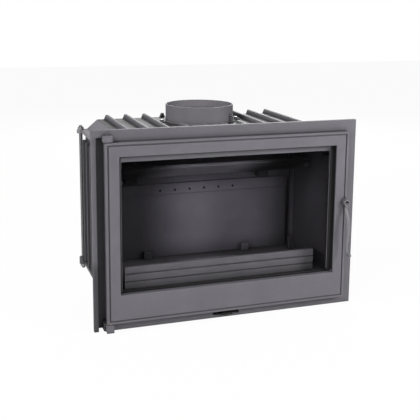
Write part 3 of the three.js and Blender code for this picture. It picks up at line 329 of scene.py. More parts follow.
@dataclass(frozen=True)
class ShadedLiningPaint(CastPaint):
    """Paint in the firebox, with painted shade that grows upwards and towards the sides, and a painted lit
    middle.
    """

    top_shade: float = 0.97
    top_shade_low: float = 0.28
    top_shade_high: float = 0.45
    top_shade_even: float = 0.45
    lit_middle_share: float = 0.36
    lit_middle: float = 0.075
    lit_half: float = 0.06
    side_fade: float = 0.19
    side_shade: float = 0.85
    duct_front: float = 127 * MM
    rear_face: float = 124 * MM
    rear_end: float = 277.5 * MM
    flange_side: float = 286 * MM
    flange_front: float = 96 * MM
    flange_lighter: float = 0.4
    foot_top: float = 146 * MM
    foot_fade: float = 22 * MM
    foot_back: float = -50 * MM
    foot_dark: float = 0.95
    black_tone: float = 0.012

    def layer(self, graph: Graph, colour: Socket, cloud: Socket) -> Socket:
        """Paints shade: darkens the colour with height, away from a painted lit middle, in the duct and at
        the gaps.

        The rear lining's ends carry painted shade and are black, the side linings' front feet are black,
        and the side linings' rear strips are lighter than the rest.

        Args:
            graph: The material's graph.
            colour: Colour socket under the painted shade.
            cloud: Noise socket that makes the shade's edge uneven.

        Returns:
            The shaded colour's socket.
        """
        x, y, z = graph.place()
        across = graph.apart(x)
        # Painted shade: darker with height and towards the sides, lighter in a painted lit middle; the duct
        # is black.
        rise = graph.ramp(z, self.top_shade_low, self.top_shade_high)
        uneven = graph.product(rise, graph.math("ADD", cloud, self.top_shade_even))
        far_off = self.lit_half + self.side_fade
        far = graph.ramp(graph.apart(x, self.lit_middle), self.lit_half, far_off, smooth=True)
        side = graph.product(far, self.side_shade)
        spared = graph.product(graph.rest(far), self.lit_middle_share)
        high = graph.product(graph.product(uneven, self.top_shade), graph.rest(spared))
        unshaded = graph.product(graph.rest(high), graph.rest(side))
        share = graph.larger(graph.rest(unshaded), graph.beyond(y, self.duct_front))
        flange = graph.product(graph.beyond(across, self.flange_side), graph.beyond(y, self.flange_front))
        share = graph.product(share, graph.rest(graph.product(flange, self.flange_lighter)))
        # Painted shade at the rear lining's ends; the side linings' front feet go near black.
        end = graph.product(graph.beyond(across, self.rear_end), graph.beyond(y, self.rear_face))
        low = graph.ramp(z, self.foot_top, self.foot_top - self.foot_fade)
        foot = graph.product(graph.product(low, graph.short_of(y, self.foot_back)), self.foot_dark)
        share = graph.larger(share, graph.larger(end, foot))
        return graph.blend(share, colour, rgba(self.colour, self.black_tone))


@dataclass(frozen=True)
class DoorPaint(CastPaint):
    """Paint of the door, with painted shade, near black, on the reveal between the window's face and the
    glass.
    """

    band_out: float = 0.7 * MM
    band_in: float = 5.2 * MM
    band_side: float = 7.4 * MM
    sill_unshaded: float = 11 * MM
    black_tone: float = 0.04

    def layer(self, graph: Graph, colour: Socket, cloud: Socket) -> Socket:
        """Paints shade: blackens what lies on the window's outline behind its front edge, widest at the
        sides.

        On the sill the black starts further back.

        How far a point lies outside the outline is the larger of two numbers, one for the upright
        and one for the level sides: the distance from the window's middle less half its size.

        Args:
            graph: The material's graph.
            colour: Colour socket of the paint.
            cloud: Noise socket of the paint, not used here.

        Returns:
            The blackened colour's socket.
        """
        x, y, z = graph.place()
        middle, half = (WINDOW_TOP + WINDOW_BOTTOM) / 2, (WINDOW_TOP - WINDOW_BOTTOM) / 2
        aside = graph.math("SUBTRACT", graph.apart(x), WINDOW_HALF, clamp=False)
        above = graph.math("SUBTRACT", graph.apart(z, middle), half, clamp=False)
        outside = graph.math("MAXIMUM", aside, above, clamp=False)
        within = graph.larger(graph.beyond(outside, -self.band_in), graph.beyond(aside, -self.band_side))
        near = graph.product(graph.short_of(outside, self.band_out), within)
        low = graph.short_of(z, WINDOW_BOTTOM + self.band_in)
        depth = graph.math("SUBTRACT", y, REVEAL_FRONT, clamp=False)
        behind = graph.beyond(depth, graph.product(low, self.sill_unshaded))
        # Painted shade on the reveal and the edge of the lip.
        return graph.blend(graph.product(near, behind), colour, rgba(self.colour, self.black_tone))


@dataclass(frozen=True)
class HoodPaint(CastPaint):
    """Paint of the hood: painted shade lies between its ribs, and painted light on its sloped sides."""

    plate: float = 475.6 * MM
    crest: float = 487 * MM
    slope: float = 299 * MM
    bay_shade_gain: float = 0.85
    bay_shade_even: float = 0.55
    bay_shade_tone: float = 0.16
    slope_light_tone: float = 1.35

    def layer(self, graph: Graph, colour: Socket, cloud: Socket) -> Socket:
        """Paints shade on the flat top between the ribs, least at their crests, and paints light on the
        slopes.

        Args:
            graph: The material's graph.
            colour: Colour socket of the paint.
            cloud: Noise socket that makes the painted shade uneven.

        Returns:
            The shaded colour's socket.
        """
        x, _, z = graph.place()
        below = graph.ramp(z, self.plate, self.crest, 1.0, 0.0, smooth=True)
        flat = graph.product(graph.beyond(z, self.plate), graph.short_of(graph.apart(x), self.slope))
        uneven = graph.product(below, graph.math("ADD", cloud, self.bay_shade_even))
        # Painted light on the slopes, then painted shade between the ribs.
        colour = graph.blend(graph.rest(flat), colour, rgba(self.colour, self.slope_light_tone))
        painted_shade = graph.product(graph.product(uneven, flat), self.bay_shade_gain)
        return graph.blend(painted_shade, colour, rgba(self.colour, self.bay_shade_tone))


@dataclass(frozen=True)
class FramePaint(CastPaint):
    """Paint of the front frame, with painted shade in the hinge channel, a painted shadow line under the
    door, and a darker left foot.
    """

    channel_from: float = -347 * MM
    channel_to: float = -300 * MM
    channel_front: float = -149 * MM
    channel_shade: float = 0.55
    door_foot: float = 23 * MM
    door_half: float = 323 * MM
    door_line: float = 4 * MM
    shadow_line_gain: float = 0.8
    strip_side: float = -320 * MM
    strip_top: float = 185 * MM
    strip_fade: float = 25 * MM
    strip_darkening: float = 0.62

    def layer(self, graph: Graph, colour: Socket, cloud: Socket) -> Socket:
        """Paints shade in the channel behind the frame's face and a shadow line under the door, and darkens
        the left strip's foot.

        Args:
            graph: The material's graph.
            colour: Colour socket of the paint.
            cloud: Noise socket of the paint, not used here.

        Returns:
            The darkened colour's socket.
        """
        x, y, z = graph.place()
        # Painted shade in the channel and a painted shadow line under the door; the left strip darkens
        # towards its foot.
        across = graph.product(graph.beyond(x, self.channel_from), graph.short_of(x, self.channel_to))
        channel = graph.product(graph.product(across, graph.beyond(y, self.channel_front)), self.channel_shade)
        half_line = self.door_line / 2
        line = graph.product(
            graph.short_of(graph.apart(z, self.door_foot - half_line), half_line), self.shadow_line_gain)
        line = graph.product(line, graph.short_of(graph.apart(x), self.door_half))
        low = graph.ramp(z, self.strip_top, self.strip_top - self.strip_fade)
        foot = graph.product(graph.product(low, graph.short_of(x, self.strip_side)), self.strip_darkening)
        share = graph.larger(graph.larger(channel, line), foot)
        return graph.blend(share, colour, rgba(self.colour, self.shade_tone))


@dataclass(frozen=True)
class Steel:
    """Plain or plated steel with fine drawn streaks, and worn edges with a painted highlight."""

    name: str
    colour: tuple
    roughness: float
    metal: float = 1.0
    streak: tuple = (1, 1, 1)
    # Lighter edges, partly wear and partly painted highlight: amount, band width, gain and tone.
    wear_and_glint: float = 0.4
    wear_and_glint_band: float = 0.8 * MM
    wear_and_glint_gain: float = 2.5
    wear_and_glint_tone: float = 1.7
    blotch: float = 18 * MM
    dark_tone: float = 0.82
    light_tone: float = 1.12
    streak_size: float = 0.8 * MM
    streak_depth: float = 0.03 * MM
    gloss_below: float = 0.08
    gloss_above: float = 0.12

    def material(self) -> bpy.types.Material:
        """Builds the steel's nodes.

        Returns:
            The finished material.
        """
        graph = Graph(self.name)
        cloud = graph.noise(self.blotch, detail=4.0)
        streaks = graph.noise(self.streak_size, detail=2.0, stretch=self.streak)
        colour = graph.blend(cloud, rgba(self.colour, self.dark_tone), rgba(self.colour, self.light_tone))
        # Lighter edges: partly worn, partly a painted highlight.
        worn_and_glinting = graph.edge_mask(self.wear_and_glint_band, self.wear_and_glint_gain * self.wear_and_glint)
        matte, shiny = self.roughness + self.gloss_above, self.roughness - self.gloss_below
        return graph.close(graph.add("BsdfPrincipled", {
            "Base Color": graph.blend(worn_and_glinting, colour, rgba(self.colour, self.wear_and_glint_tone)),
            "Metallic": self.metal,
            "Roughness": graph.ramp(streaks, 0.0, 1.0, shiny, matte),
            "Normal": graph.bump(streaks, self.streak_depth),
        }))


@dataclass(frozen=True)
class CeramicGlass:
    """Clear stove glass with a trace of dust."""

    name: str
    tint: tuple = (0.05, 0.048, 0.052)
    roughness: float = 0.05
    refraction: float = 1.5
    gloss: float = 0.16
    film: float = 70 * MM
    film_from: float = 0.35
    film_to: float = 0.75
    clear: float = 0.012
    dusty: float = 0.035
    wave: float = 120 * MM
    wave_depth: float = 0.1 * MM

    def material(self) -> bpy.types.Material:
        """Builds the glass's nodes.

        Returns:
            The finished material.
        """
        graph = Graph(self.name)
        film = graph.noise(self.film, detail=6.0)
        return graph.close(graph.add("BsdfPrincipled", {
            "Base Color": rgba(self.tint),
            "Roughness": self.roughness,
            "IOR": self.refraction,
            "Specular IOR Level": self.gloss,
            "Alpha": graph.ramp(film, self.film_from, self.film_to, self.clear, self.dusty),
            "Normal": graph.bump(graph.noise(self.wave, detail=1.0), self.wave_depth),
        }))


@dataclass(frozen=True)
class GlassFibre:
    """Braided glass-fibre rope, dark and slightly fuzzy."""

    name: str
    colour: tuple = (0.052, 0.051, 0.05)
    dark_tone: float = 0.5
    light_tone: float = 1.7
    roughness: float = 0.92
    fuzz: float = 0.25
    fibre: float = 0.5 * MM
    fibre_depth: float = 0.15 * MM

    def material(self) -> bpy.types.Material:
        """Builds the fibre's nodes.

        Returns:
            The finished material.
        """
        graph = Graph(self.name)
        fibre = graph.noise(self.fibre, detail=3.0)
        return graph.close(graph.add("BsdfPrincipled", {
            "Base Color": graph.blend(
                fibre, rgba(self.colour, self.dark_tone), rgba(self.colour, self.light_tone)),
            "Roughness": self.roughness,
            "Sheen Weight": self.fuzz,
            "Normal": graph.bump(fibre, self.fibre_depth),
        }))


class Finish(Enum):
    """The finishes of the insert, each with the record's slot that it belongs to."""

    PAINT = ("iron", CastPaint("stove_paint", corner=12 * MM))
    FRAME = ("iron", FramePaint("frame_paint", corner=12 * MM, corner_shade=0.5))
    # Painted light: hood and collar are lighter copies of the stove paint, standing in for the light that
    # falls on them.
    HOOD = ("iron", HoodPaint("lit_hood_paint", colour=(0.15, 0.144, 0.158), mottle=0.2, wear_and_glint=0.8))
    COLLAR = ("iron", CastPaint("lit_collar_paint", colour=(0.152, 0.146, 0.161), corner=12 * MM))
    # Painted shade: the walls are a darker copy of the stove paint, standing in for the shade they lie in.
    WALL = ("iron", CastPaint(
        "shaded_wall_paint", colour=(0.077, 0.0735, 0.083), mottle=0.18, wear_and_glint=0.6,
        corner=34 * MM, corner_shade=1.35))
    DOOR = ("iron", DoorPaint("door_paint", mottle=0.2, corner=12 * MM, corner_shade=0.7))
    # Painted shade with a painted lit middle on the firebox lining.
    LINING = ("liner", ShadedLiningPaint(
        "shaded_lining", colour=(0.19, 0.179, 0.213), roughness=0.8, specular=0.05,
        grain=1.3 * MM, grain_depth=0.16 * MM, mottle=0.2, wear_and_glint=0.3, corner=60 * MM, corner_shade=1.35))
    # Painted shade: the baffle is darkened to near black, most towards its ends.
    BAFFLE = ("liner", ShadedLiningPaint(
        "baffle_shade", colour=(0.215, 0.204, 0.235), roughness=0.82, specular=0.04,
        grain=1.3 * MM, grain_depth=0.16 * MM, mottle=0.2, wear_and_glint=0.2, corner=40 * MM,
        lit_middle=0.0, lit_half=0.06, side_fade=0.14, side_shade=0.985))
    # Painted shade: the hooks are near black, standing in for the shade round them.
    HOOK = ("liner", ShadedLiningPaint(
        "hook_shade", colour=(0.05, 0.048, 0.054), roughness=0.8, specular=0.04, wear_and_glint=0.2, corner=40 * MM))
    GUARD = ("liner", CastPaint(
        "guard_paint", colour=(0.116, 0.111, 0.125), roughness=0.66, grain=1.1 * MM, mottle=0.2, wear_and_glint=0.5,
        corner=24 * MM))
    # Painted highlight: the lever's paint is a lighter copy, standing in for the light on it.
    HANDLE = ("steel", CastPaint(
        "lit_handle_paint", colour=(0.142, 0.138, 0.15), roughness=0.4, specular=0.5,
        grain=0.6 * MM, grain_depth=0.03 * MM, hollow_depth=0.05 * MM, wear_and_glint=0.3))
    # Painted shade: near-black steel for the spindle in its socket and the air slider in its slot, where
    # shade falls.
    BLACKED = ("steel", Steel(
        "shade_black_steel", colour=(0.012, 0.012, 0.013), roughness=0.7, metal=0.3, wear_and_glint=0.1))
    SHEET = ("steel", Steel(
        "dark_sheet_steel", colour=(0.14, 0.14, 0.145), roughness=0.5, metal=0.7, streak=(1, 8, 8)))
    ROD = ("steel", Steel(
        "rod_steel", colour=(0.2, 0.2, 0.205), roughness=0.42, metal=0.9, streak=(8, 8, 1)))
    ZINC = ("zinc", Steel("zinc_plating", colour=(0.36, 0.36, 0.37), roughness=0.36))
    BRASS = ("brass", Steel("hinge_brass", colour=(0.5, 0.34, 0.12), roughness=0.34))
    GLASS = ("glass", CeramicGlass("stove_glass"))
    ROPE = ("rope", GlassFibre("glass_fibre"))

    def material(self) -> bpy.types.Material:
        """Returns the finish's material, made the first time it is asked for."""
        recipe = self.value[1]
        return bpy.data.materials.get(recipe.name) or recipe.material()

    @property
    def slot(self) -> str:
        """The record's material slot of this finish."""
        return self.value[0]


# ---- Meshes ----


def grid_faces(rows: int, columns: int, close_rows: bool, close_columns: bool) -> np.ndarray:
    """Quads between the points of a grid, whose points are numbered row by row.

    Args:
        rows: Points in the first direction.
        columns: Points in the second direction.
        close_rows: Whether the last row joins the first.
        close_columns: Whether the last column joins the first.

    Returns:
        An array of four point numbers for each quad.
    """
    down = np.arange(rows if close_rows else rows - 1)[:, None]
    along = np.arange(columns if close_columns else columns - 1)[None, :]
    below, beside = (down + 1) % rows, (along + 1) % columns
    around = [
        down * columns + along, down * columns + beside,
        below * columns + beside, below * columns + along,
    ]
    return np.stack(np.broadcast_arrays(*around), axis=-1).reshape(-1, 4)


@dataclass
class Surface:
    """A grid of points with its faces, ready to become part of a mesh."""

    points: np.ndarray
    close_rows: bool = False
    close_columns: bool = True
    cap_ends: bool = False

    def arrays(self) -> tuple[np.ndarray, list]:
        """The grid as a mesh takes it.

        Returns:
            The points in one list, and the faces, end caps included.
        """
        rows, columns = self.points.shape[:2]
        faces = grid_faces(rows, columns, self.close_rows, self.close_columns).tolist()
        if self.cap_ends:
            faces.append(list(range(columns)))
            faces.append(list(range(rows * columns - 1, (rows - 1) * columns - 1, -1)))
        return self.points.reshape(-1, 3), faces


def dressed(name: str, mesh: bpy.types.Mesh, finish: Finish, body: str, nodes: tuple) -> bpy.types.Object:
    """Makes the object of a mesh, gives it its finish and hangs it on its body.

    Args:
        name: Name of the object.
        mesh: Its mesh, in the insert's own coordinates.
        finish: What it is finished in.
        body: The body it moves with.
        nodes: The solids it stands for.

    Returns:
        The object.
    """
    piece = bpy.data.objects.new(name, mesh)
    bpy.context.scene.collection.objects.link(piece)
    mesh.materials.clear()
    mesh.materials.append(finish.material())
    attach(piece, body)
    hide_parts(*nodes)
    log.info("%s: %d faces, in %s", name, len(mesh.polygons), finish.name.lower())
    return piece


def surface_piece(
    name: str, surfaces: list[Surface], finish: Finish, body: str, nodes: tuple,
) -> bpy.types.Object:
    """A smooth piece from one or more grids, with its normals turned outwards.

    Args:
        name: Name of the piece.
        surfaces: Its grids.
        finish: What it is finished in.
        body: The body it moves with.
        nodes: The solids it stands for.

    Returns:
        The object.
    """
    points, faces, start = [], [], 0
    for surface in surfaces:
        some, quads = surface.arrays()
        points.append(some)
        faces.extend([[start + corner for corner in face] for face in quads])
        start += len(some)
    mesh = bpy.data.meshes.new(name)
    mesh.from_pydata(np.concatenate(points).tolist(), [], faces)
    work = bmesh.new()
    work.from_mesh(mesh)
    bmesh.ops.remove_doubles(work, verts=work.verts, dist=GRID_MERGE)
    bmesh.ops.recalc_face_normals(work, faces=work.faces)
    work.to_mesh(mesh)
    work.free()
    mesh.polygons.foreach_set("use_smooth", np.ones(len(mesh.polygons), dtype=bool))
    piece = dressed(name, mesh, finish, body, nodes)
    even_normals(piece)
    return piece


def even_normals(piece: bpy.types.Object) -> None:
    """Adds weighted normals, so that flats look flat beside their rounded edges.

    Args:
        piece: The piece, which has smooth faces.
    """
    weighted = piece.modifiers.new("weighted_normals", "WEIGHTED_NORMAL")
    weighted.keep_sharp = False
    weighted.weight = NORMAL_WEIGHT


def join_flats(work: bmesh.types.BMesh) -> None:
    """Joins neighbouring faces that lie in one plane, apart from a seam where a face would close on itself.

    Args:
        work: The mesh, with its doubles merged.
    """
    work.normal_update()
    for edge in list(work.edges) * 2:
        if not edge.is_valid or len(edge.link_faces) != 2:
            continue
        first, second = edge.link_faces
        if first.normal.angle(second.normal, math.pi) > FLAT_ANGLE:
            continue
        corners_shared = set(first.verts) & set(second.verts)
        edges_shared = set(first.edges) & set(second.edges)
        if len(corners_shared) == len(edges_shared) + 1:
            bmesh.utils.face_join([first, second]).normal_update()
    bmesh.ops.dissolve_limit(work, angle_limit=FLAT_ANGLE, verts=work.verts, edges=[])


def softened(
    node: str, finish: Finish, radius: float, segments: int = 2, full: bool = False, weld: float = 0.0,
) -> bpy.types.Object:
    """A copy of a node's solid with its edges rounded, as a casting's or a pressed sheet's are.

    Args:
        node: The solid.
        finish: What it is finished in.
        radius: Width of the rounding, in metres.
        segments: Faces across the rounding.
        full: Whether the rounding keeps its width beside short edges.
        weld: Length under which an edge is closed up, in metres.

    Returns:
        The object.
    """
    mesh = frame["nodes"][node].data.copy()
    work = bmesh.new()
    work.from_mesh(mesh)
    bmesh.ops.remove_doubles(work, verts=work.verts, dist=SOLID_MERGE)
    if weld:
        bmesh.ops.dissolve_degenerate(work, dist=weld, edges=work.edges)
    join_flats(work)
    work.to_mesh(mesh)
    work.free()
    mesh.polygons.foreach_set("use_smooth", np.ones(len(mesh.polygons), dtype=bool))
    piece = dressed(f"{node}_finished", mesh, finish, body_of(node), (node,))
    rounding = piece.modifiers.new("edge_rounding", "BEVEL")
    rounding.width = radius
    rounding.segments = segments
    rounding.limit_method = "ANGLE"
    rounding.angle_limit = EDGE_ANGLE
    rounding.use_clamp_overlap = not full
    rounding.loop_slide = False
    even_normals(piece)
    return piece


def body_of(node: str) -> str:
    """Returns the body that holds a node, as the record lists it."""
    bodies = frame["record"]["behaviour"]["bodies"]
    return next(body for body, nodes in bodies.items() if node in nodes)


def corners(node: str) -> tuple[np.ndarray, np.ndarray]:
    """Returns a node's lowest and highest corners as arrays, in metres."""
    low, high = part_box(node)
    return np.array(low), np.array(high)


def arc(centre: tuple, radius: float, start: float, end: float, steps: int) -> np.ndarray:
    """Points on an arc: the centre plus the radius times cosine and sine of an even angle.

    Args:
        centre: Centre in the profile's two coordinates.
        radius: Radius of the arc.
        start: First angle, in degrees.
        end: Last angle, in degrees.
        steps: Number of points.

    Returns:
        An array of points, two numbers each.
    """
    angle = np.radians(np.linspace(start, end, steps))
    return np.stack([centre[0] + radius * np.cos(angle), centre[1] + radius * np.sin(angle)], axis=1)


def revolved(profile: np.ndarray, centre: Vector, axis: Vector, steps: int = 48) -> np.ndarray:
    """A profile turned about an axis: radius times cosine and sine across it, height along it.

    Args:
        profile: Radius and height of each profile point.
        centre: A point on the axis, at height 0.
        axis: Direction of the axis.
        steps: Points round the turn.

    Returns:
        A grid of points, one row for each profile point.
    """
    turn = axis.to_track_quat("Z", "Y").to_matrix()
    angle = np.linspace(0, 2 * np.pi, steps, endpoint=False)
    radius, height = profile[:, :1], profile[:, 1:]
    local = np.stack([
        radius * np.cos(angle), radius * np.sin(angle), np.broadcast_to(height, (len(profile), steps)),
    ], axis=-1)
    return local @ np.array(turn).T + np.array(centre)


def smooth_path(points: np.ndarray, steps: int) -> np.ndarray:
    """A curve through the points: each span is a cubic whose end slopes join its neighbours.

    Args:
        points: Points on the curve.
        steps: Number of points returned, evenly spread over the spans.

    Returns:
        Points along the curve.
    """
    padded = np.concatenate([2 * points[:1] - points[1:2], points, 2 * points[-1:] - points[-2:-1]])
    place = np.linspace(0, len(points) - 1, steps)
    span = np.minimum(place.astype(int), len(points) - 2)
    share = (place - span)[:, None]
    before, start, end, after = (padded[span + step] for step in range(4))
    slope_in, slope_out = (end - before) / 2, (after - start) / 2
    cube, square = share ** 3, share ** 2
    return ((2 * cube - 3 * square + 1) * start + (cube - 2 * square + share) * slope_in
            + (3 * square - 2 * cube) * end + (cube - square) * slope_out)


def swept(path: np.ndarray, wide: np.ndarray, deep: np.ndarray, side: tuple, steps: int = 20) -> np.ndarray:
    """An oval carried along a flat path: cosine across the path's plane, sine within it.

    Args:
        path: Points of the path.
        wide: Half width across the path's plane, for each point or for each point and angle.
        deep: Half depth within the plane, in the same way.
        side: Unit vector across the path's plane.
        steps: Points round the oval.

    Returns:
        A grid of points, one row for each path point.
    """
    tangent = np.gradient(path, axis=0)
    tangent /= np.linalg.norm(tangent, axis=1, keepdims=True)
    across = np.broadcast_to(np.array(side, dtype=float), path.shape)
    within = np.cross(tangent, across)
    angle = np.linspace(0, 2 * np.pi, steps, endpoint=False)
    wide, deep = wide.reshape(len(path), -1), deep.reshape(len(path), -1)
    return (path[:, None, :] + (wide * np.cos(angle))[..., None] * across[:, None, :]
            + (deep * np.sin(angle))[..., None] * within[:, None, :])


@dataclass(frozen=True)
class Outline:
    """An upright rectangle about X = 0: half width, foot and top, in metres."""

    half: float
    bottom: float
    top: float

    def inset(self, side: float, top: float | None = None, bottom: float | None = None) -> "Outline":
        """The outline moved inwards.

        Args:
            side: How far the sides move, in metres.
            top: How far the top moves, as the sides do unless it is given.
            bottom: How far the foot moves, as the sides do unless it is given.

        Returns:
            The moved outline.
        """
        top = side if top is None else top
        bottom = side if bottom is None else bottom
        return Outline(self.half - side, self.bottom + bottom, self.top - top)

    def loop(self, depth: float, corner: float, steps: int = 6) -> np.ndarray:
        """A closed loop of points: four straight sides joined by quarter circles.

        Args:
            depth: Place of the loop along Y.
            corner: Radius of the corners.
            steps: Points on each corner.

        Returns:
            Points of the loop, anticlockwise as seen from the front.
        """
        ends = [
            (self.half, self.bottom, -90), (self.half, self.top, 0),
            (-self.half, self.top, 90), (-self.half, self.bottom, 180),
        ]
        quarter = [
            arc((x - math.copysign(corner, x), z + (corner if start in (-90, 180) else -corner)),
                corner, start, start + 90, steps)
            for x, z, start in ends
        ]
        flat = np.concatenate(quarter)
        return np.insert(flat, 1, depth, axis=1)


# ---- Sub-assemblies ----


@dataclass
class FrontFrame:
    """The flat front frame with its hinge channel, and the bolts behind it."""

    edge: float = 1.3 * MM
    bolt_edge: float = 0.35 * MM
    bolts: int = 4

    def build(self) -> None:
        """Builds and dresses the frame and its bolts."""
        softened("facade_frame", Finish.FRAME, self.edge, segments=3, full=True)
        for number in range(1, self.bolts + 1):
            softened(f"facade_bolt_{number}", Finish.ZINC, self.bolt_edge)


@dataclass
class DoorLeaf:
    """The cast door frame with its bead and groove, its glass, its ropes and its clamps."""

    gap: float = 0.5 * MM
    thickness: float = 18.5 * MM
    bead: float = 6 * MM
    groove: float = 3 * MM
    groove_depth: float = 2.5 * MM
    lip_front: float = 3 * MM
    lip_back: float = 8 * MM
    lip_side: float = 8.5 * MM
    lip_top: float = 16.5 * MM
    lip_bottom: float = 2.5 * MM
    ring_half: float = 293.5 * MM
    ring_bottom: float = 75.5 * MM
    ring_top: float = 449.5 * MM
    ring_wall: float = 5 * MM
    ring_back: float = 13 * MM
    boss_radius: float = 9.6 * MM
    boss_length: float = 5 * MM
    boss_root: float = 2 * MM
    boss_edge: float = 1.4 * MM
    round_outer: float = 1.6 * MM
    round_bead: float = 0.8 * MM
    round_window: float = 2.2 * MM
    least_corner: float = 0.4 * MM
    strand: float = 5.5 * MM
    rope_half: tuple = (1.95 * MM, 2.75 * MM)
    rope_inset: float = 3 * MM
    rope_corner: float = 5 * MM
    rope_step: float = 1.1 * MM
    rope_sides: int = 16
    rope_least: float = 0.84
    rope_swell: float = 0.16
    glass_edge: float = 0.8 * MM
    gasket_edge: float = 0.3 * MM
    clamp_edge: float = 0.5 * MM
    screws: int = 4

    def build(self) -> None:
        """Builds and dresses the door's pieces."""
        surface_piece("door_casting", [self._casting(), self._boss()], Finish.DOOR, "door", ("door_frame",))
        softened("door_glass", Finish.GLASS, self.glass_edge)
        surface_piece("door_rope_braid", [self._rope()], Finish.ROPE, "door", ("door_rope",))
        softened("glass_gasket", Finish.ROPE, self.gasket_edge)
        softened("glass_retainer_top", Finish.SHEET, self.clamp_edge)
        softened("glass_retainer_bottom", Finish.SHEET, self.clamp_edge)
        for number in range(1, self.screws + 1):
            softened(f"retainer_screw_{number}", Finish.ZINC, self.clamp_edge)

    def _face(self) -> float:
        """Returns the place of the front frame's face along Y."""
        return float(corners("facade_frame")[0][1])

    def _casting(self) -> Surface:
        """The door frame: rounded rectangles of one point count, stacked along the casting's profile.

        Each station is an inset from one outline and a depth. The list runs from the back of the
        outer edge over bead, groove and face into the window, along the lip and the rear ring, and
        back to where it started.

        Returns:
            The closed surface.
        """
        low, high = corners("door_frame")
        outer = Outline(-float(low[0]), float(low[2]), float(high[2]))
        window = Outline(WINDOW_HALF, WINDOW_BOTTOM, WINDOW_TOP)
        lip = window.inset(self.lip_side, self.lip_top, self.lip_bottom)
        ring = Outline(self.ring_half, self.ring_bottom, self.ring_top)
        face = self._face()
        back = face - self.gap
        front = back - self.thickness
        r, s, w = self.round_outer, self.round_bead, self.round_window
        floor = front + self.groove_depth
        inner = self.bead + self.groove
        edge = np.concatenate([
            [[0.0, back]],
            arc((r, front + r), r, 180, 270, steps=5),
            arc((self.bead - s, front + s), s, 270, 360, steps=4),
            [[self.bead, floor], [inner, floor]],
            arc((inner + s, front + s), s, 180, 270, steps=4),
        ])
        mouth = np.concatenate([
            arc((-w, front + w), w, 270, 360, steps=5),
            [[0.0, face + self.lip_front]],
        ])
        sill = np.concatenate([
            arc((-s, face + self.lip_front + s), s, 270, 360, steps=4),
            [[0.0, face + self.lip_back]],
        ])
        rear = [
            [self.ring_wall, face + self.lip_back], [self.ring_wall, face + self.ring_back - s],
            [self.ring_wall - s, face + self.ring_back], [s, face + self.ring_back],
            [0.0, face + self.ring_back - s], [0.0, back],
        ]
        zones = [(outer, edge, r), (window, mouth, w), (lip, sill, w), (ring, rear, r)]
        loops = [
            outline.inset(float(inset)).loop(
                float(depth), max(corner - max(float(inset), 0.0), self.least_corner))
            for outline, stations, corner in zones for inset, depth in stations
        ]
        return Surface(np.array(loops), close_rows=True)

    def _boss(self) -> Surface:
        """The round boss that carries the latch spindle: a rounded disc profile turned about Y.

        Returns:
            The surface.
        """
        low, high = corners("handle_spindle")
        centre = (low + high) / 2
        front = self._face() - self.gap - self.thickness
        radius, edge = self.boss_radius, self.boss_edge
        profile = np.concatenate([
            [[radius, -self.boss_root]],
            arc((radius - edge, self.boss_length - edge), edge, 0, 90, steps=5),
        ])
        axis = Vector((0, -1, 0))
        return Surface(revolved(profile, Vector((centre[0], front, centre[2])), axis), cap_ends=True)

    def _rope(self) -> Surface:
        """The braided rope: an oval tube round a rectangle, swollen where strands cross over.

        The radius is multiplied by the least share plus the swell times the larger of two rectified
        cosines of distance plus and minus twice the angle, one for each family of strands.

        Returns:
            The closed surface.
        """
        low, high = corners("door_rope")
        middle = Outline(float(high[0]), float(low[2]), float(high[2])).inset(self.rope_inset)
        loop = middle.loop(float(low[1] + high[1]) / 2, self.rope_corner, steps=12)
        closed = np.concatenate([loop, loop[:1]])
        length = np.concatenate([[0.0], np.cumsum(np.linalg.norm(np.diff(closed, axis=0), axis=1))])
        count = int(length[-1] / self.rope_step)
        place = np.linspace(0, length[-1], count, endpoint=False)
        path = np.stack([np.interp(place, length, closed[:, axis]) for axis in range(3)], axis=1)
        angle = np.linspace(0, 2 * np.pi, self.rope_sides, endpoint=False)
        turn = np.pi * place[:, None] / self.strand
        swell = np.maximum(np.abs(np.cos(turn + 2 * angle)), np.abs(np.cos(turn - 2 * angle)))
        swell = self.rope_least + self.rope_swell * swell
        wide, deep = self.rope_half
        tube = swept(path, wide * swell, deep * swell, (0, 1, 0), self.rope_sides)
        return Surface(tube, close_rows=True)


@dataclass
class Hinges:
    """The two hinge blocks on the front frame, their pins and the brass washer."""

    block_edge: float = 1.6 * MM
    pin_edge: float = 0.6 * MM
    washer_edge: float = 0.25 * MM

    def build(self) -> None:
        """Builds and dresses the hinge pieces."""
        softened("hinge_bracket_upper", Finish.PAINT, self.block_edge, segments=3)
        softened("hinge_bracket_lower", Finish.PAINT, self.block_edge, segments=3)
        softened("hinge_pin_upper", Finish.ROD, self.pin_edge)
        softened("hinge_pin_lower", Finish.ROD, self.pin_edge)
        softened("hinge_washer", Finish.BRASS, self.washer_edge)


